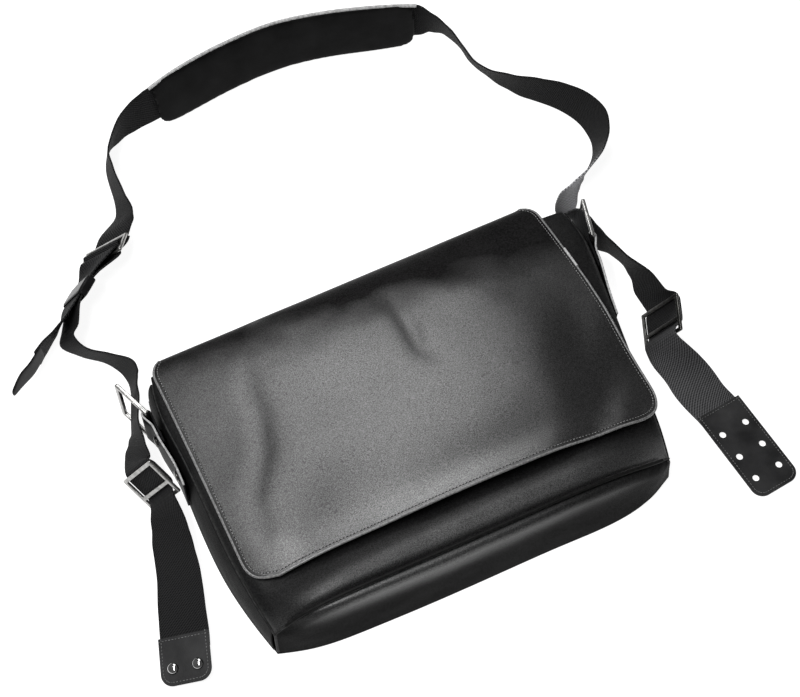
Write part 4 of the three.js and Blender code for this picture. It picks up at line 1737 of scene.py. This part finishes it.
@dataclass
class LeatherWork:
    """The shoulder pad, the tabs, the keeper and the strap tip."""

    finishes: Finishes
    tab_wall: float = 2.0 * MM
    # Painted highlight: the radius of the pale cord along each side tab's edge.
    tab_edge: float = 1.1 * MM
    cut_edge: float = 0.5 * MM
    stitch_inset: float = 3.0 * MM
    stitch_pitch: float = 3.2 * MM
    stitch_size: tuple = (2.2 * MM, 0.8 * MM)
    slack: float = 1.2 * MM
    swell: float = 1.4
    held_rim: float = 0.84
    voxel: float = 1.8 * MM
    backing: float = 1.9 * MM
    backing_out: float = 1.7
    backing_drop: float = 3.5
    line_steps: int = 8
    tip_lean: tuple = (-0.05, -0.19, 0.0)

    def pad(self) -> None:
        """The padded shoulder piece and the upper edge of its backing, coloured pale as a painted highlight.
        """
        sizes = StrapSizes()
        route = stations(PAD_ROUTE, sizes.pad_width, sizes.thick)
        middle = smooth_line([s.at for s in route], self.line_steps)
        across = slack_line([s.across for s in route], self.line_steps)
        nearest = near_to([p * MM for p in middle])

        def outward(place: Vector) -> float:
            """How far a point lies from the middle line towards the stitched rim, 1 at the rim."""
            on, index, _ = nearest.find(place)
            return abs((place - on).dot(across[index])) / (0.5 * sizes.pad_width * MM)

        shape = smoothed(node_shape("shoulder_pad"), 2)
        press(shape, lambda place: -self.slack * max(0.0, 1.0 - outward(place) ** 2))
        cap = self.swell * self.slack
        shape = stuffed(shape, lambda place: outward(place) > self.held_rim, cap, self.voxel)
        made = piece(shape, "pad_leather", self.finishes.pad, Slot.LEATHER, ["shoulder_pad"])
        # Painted highlight: a pale cord along the pad's upper edge stands for light on the backing's edge.
        upper = [s.at + s.across * (0.5 * sizes.pad_width - 1.0) for s in route]
        upper = smooth_line(upper, self.line_steps)
        line = []
        for index, point in enumerate(upper):
            sunk = abs(2.0 * index / (len(upper) - 1) - 1.0) ** 5
            offset = Vector((0, self.backing_out * (1.0 - sunk), -self.backing_drop * sunk))
            line.append((point + offset) * MM)
        piece(tube(line, self.backing), "pad_backing_painted_highlight", self.finishes.edge, Slot.LEATHER)

    def cut_piece(self, node: str, material: bpy.types.Material) -> None:
        """A flat cut piece of leather with its edges rubbed round.

        Args:
            node: the solid's name.
            material: its finish.
        """
        shape = node_shape(node)
        sharp = sharp_edges(shape, 60)
        bmesh.ops.bevel(
            shape, geom=sharp, offset=self.cut_edge, segments=3, profile=0.5, affect="EDGES", material=-1
        )
        made = piece(shape, f"{node}_leather", material, Slot.LEATHER, [node], math.radians(35))
        even = made.modifiers.new("even_normals", "WEIGHTED_NORMAL")
        even.keep_sharp = True

    def edge_seam(self, node: str) -> None:
        """Stitches round the edge of a tab's upper face.

        Args:
            node: the solid's name.
        """
        sheet = outer_face(node, UP)
        line = [v.co.copy() for v in border(sheet)]
        middle = sum(line, ORIGIN) / len(line)
        tree = BVHTree.FromBMesh(sheet)
        sheet.free()
        seam = seam_along([*line, line[0]], tree, self.stitch_inset, self.stitch_pitch, middle)
        threads = stitches(seam, *self.stitch_size)
        piece(threads, f"{node}_stitches", self.finishes.tab_stitch, Slot.LEATHER)

    def side_tab(self, side: Side) -> None:
        """A tab that folds round its ring, with a pale cord of painted highlight along the edge of its outer
        leg.

        Args:
            side: which side.
        """
        node = f"side_tab_{side.word}"
        shape = smoothed(outer_face(node, Vector((side.value, 0, 0))), 2)
        loop = [v.co.copy() for v in border(shape)]
        upper = max(p.z for p in loop)
        line = stretch_of(loop, lambda p: p.z > upper - 2 * MM)
        fold = line.index(max(line, key=lambda p: p.y))
        legs = (line[: fold + 1], line[fold:])
        outer = max(legs, key=lambda leg: sum(p.x for p in leg) / len(leg) * side.value)
        # Painted highlight: a pale cord along the outer leg's edge, where light catches it.
        rim = [p - Vector((side.value * 0.8, 0, 0.2)) * MM for p in outer]
        made = piece(shape, f"{node}_leather", self.finishes.leather, Slot.LEATHER, [node])
        thicken(made, self.tab_wall)
        piece(tube(rim, self.tab_edge), f"{node}_edge", self.finishes.edge, Slot.LEATHER)

    def build(self) -> None:
        """Makes all the leather."""
        self.pad()
        for side in Side:
            self.side_tab(side)
        for node in ("hole_tab", "stud_tab"):
            self.cut_piece(node, self.finishes.tab_leather)
            self.edge_seam(node)
        keeper = smoothed(node_shape("strap_keeper"), 2)
        piece(keeper, "strap_keeper_leather", self.finishes.gloss, Slot.LEATHER, ["strap_keeper"])
        tip = smoothed(node_shape("strap_tip"), 2)
        for vert in tip.verts:
            vert.co += Vector(self.tip_lean) * vert.co.z
        piece(tip, "strap_tip_leather", self.finishes.leather, Slot.LEATHER, ["strap_tip"])


# The studio


@dataclass
class Studio:
    """The floor, the lights and the camera."""

    azimuth: float = -25.5
    elevation: float = 60.0
    distance: float = 1.75
    target: tuple = (0.032, 0.1, 0.0)
    lens: float = 77.57
    sensor: float = 36.0
    floor_reach: float = 6.0
    floor_tone: float = 0.3
    floor_glow: float = 0.92
    floor_gap: float = 0.2 * MM
    ambient: float = 0.14
    lit_point: tuple = (-0.04, 0.0, 0.09)

    def floor(self) -> None:
        """A wide pale floor."""
        shape = bmesh.new()
        bmesh.ops.create_grid(shape, x_segments=4, y_segments=4, size=self.floor_reach)
        bmesh.ops.translate(shape, verts=shape.verts, vec=UP * (CAD_BOX[0][2] - self.floor_gap))
        mesh = bpy.data.meshes.new("floor")
        shape.to_mesh(mesh)
        shape.free()
        graph = Graph("pale_floor")
        graph.set(Base_Color=(*(self.floor_tone,) * 3, 1.0), Roughness=0.9)
        graph.set(Emission_Color=(1, 1, 1, 1), Emission_Strength=self.floor_glow)
        mesh.materials.append(graph.material)
        made = bpy.data.objects.new("floor", mesh)
        bpy.context.scene.collection.objects.link(made)
        made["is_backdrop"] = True

    def softbox(self, name: str, place: tuple, size: tuple, power: float) -> None:
        """A rectangular light that faces the bag.

        Args:
            name: the light's name.
            place: where it stands.
            size: its width and height.
            power: its power in watts.
        """
        light = bpy.data.lights.new(name, "AREA")
        light.shape = "RECTANGLE"
        light.size, light.size_y = size
        light.energy = power
        made = bpy.data.objects.new(name, light)
        made.location = place
        made.rotation_euler = (Vector(place) - Vector(self.lit_point)).to_track_quat("Z", "Y").to_euler()
        bpy.context.scene.collection.objects.link(made)

    def lights(self) -> None:
        """Soft light from above and behind, and a little from all round."""
        world = bpy.data.worlds.new("studio")
        world.use_nodes = True
        background = world.node_tree.nodes["Background"]
        background.inputs["Color"].default_value = (1.0, 1.0, 1.0, 1.0)
        background.inputs["Strength"].default_value = self.ambient
        bpy.context.scene.world = world
        self.softbox("key", (0.14, 1.285, 1.7), (0.81, 0.75), 19.0)
        self.softbox("strip", (-0.685, 0.0, 1.8), (1.3, 0.25), 40.0)

    def camera(self) -> None:
        """The photograph's view."""
        turn, rise = math.radians(self.azimuth), math.radians(self.elevation)
        back = Vector((math.sin(turn) * math.cos(rise), -math.cos(turn) * math.cos(rise), math.sin(rise)))
        lens = bpy.data.cameras.new("camera")
        lens.lens = self.lens
        lens.sensor_width = self.sensor
        lens.sensor_fit = "HORIZONTAL"
        made = bpy.data.objects.new("camera", lens)
        made.location = Vector(self.target) + back * self.distance
        made.rotation_euler = back.to_track_quat("Z", "Y").to_euler()
        bpy.context.scene.collection.objects.link(made)
        bpy.context.scene.camera = made

    def build(self) -> None:
        """Sets up the studio."""
        self.camera()
        self.floor()
        self.lights()
        bpy.context.scene.view_settings.view_transform = "Standard"


def write_sizes() -> None:
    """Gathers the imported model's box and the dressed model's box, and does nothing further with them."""
    boxes = {"cad": CAD_BOX, "visual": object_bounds()}
    {name: [list(corner) for corner in box] for name, box in boxes.items()}


def main() -> None:
    """Builds the bag and its studio."""
    logging.basicConfig(level=logging.INFO, format="%(name)s: %(message)s")
    finishes = Finishes()
    Studio().build()
    for work in (Straps, BagBody, Flap, LeatherWork, Hardware):
        work(finishes).build()
    write_sizes()


if __name__ == "__main__":
    main()
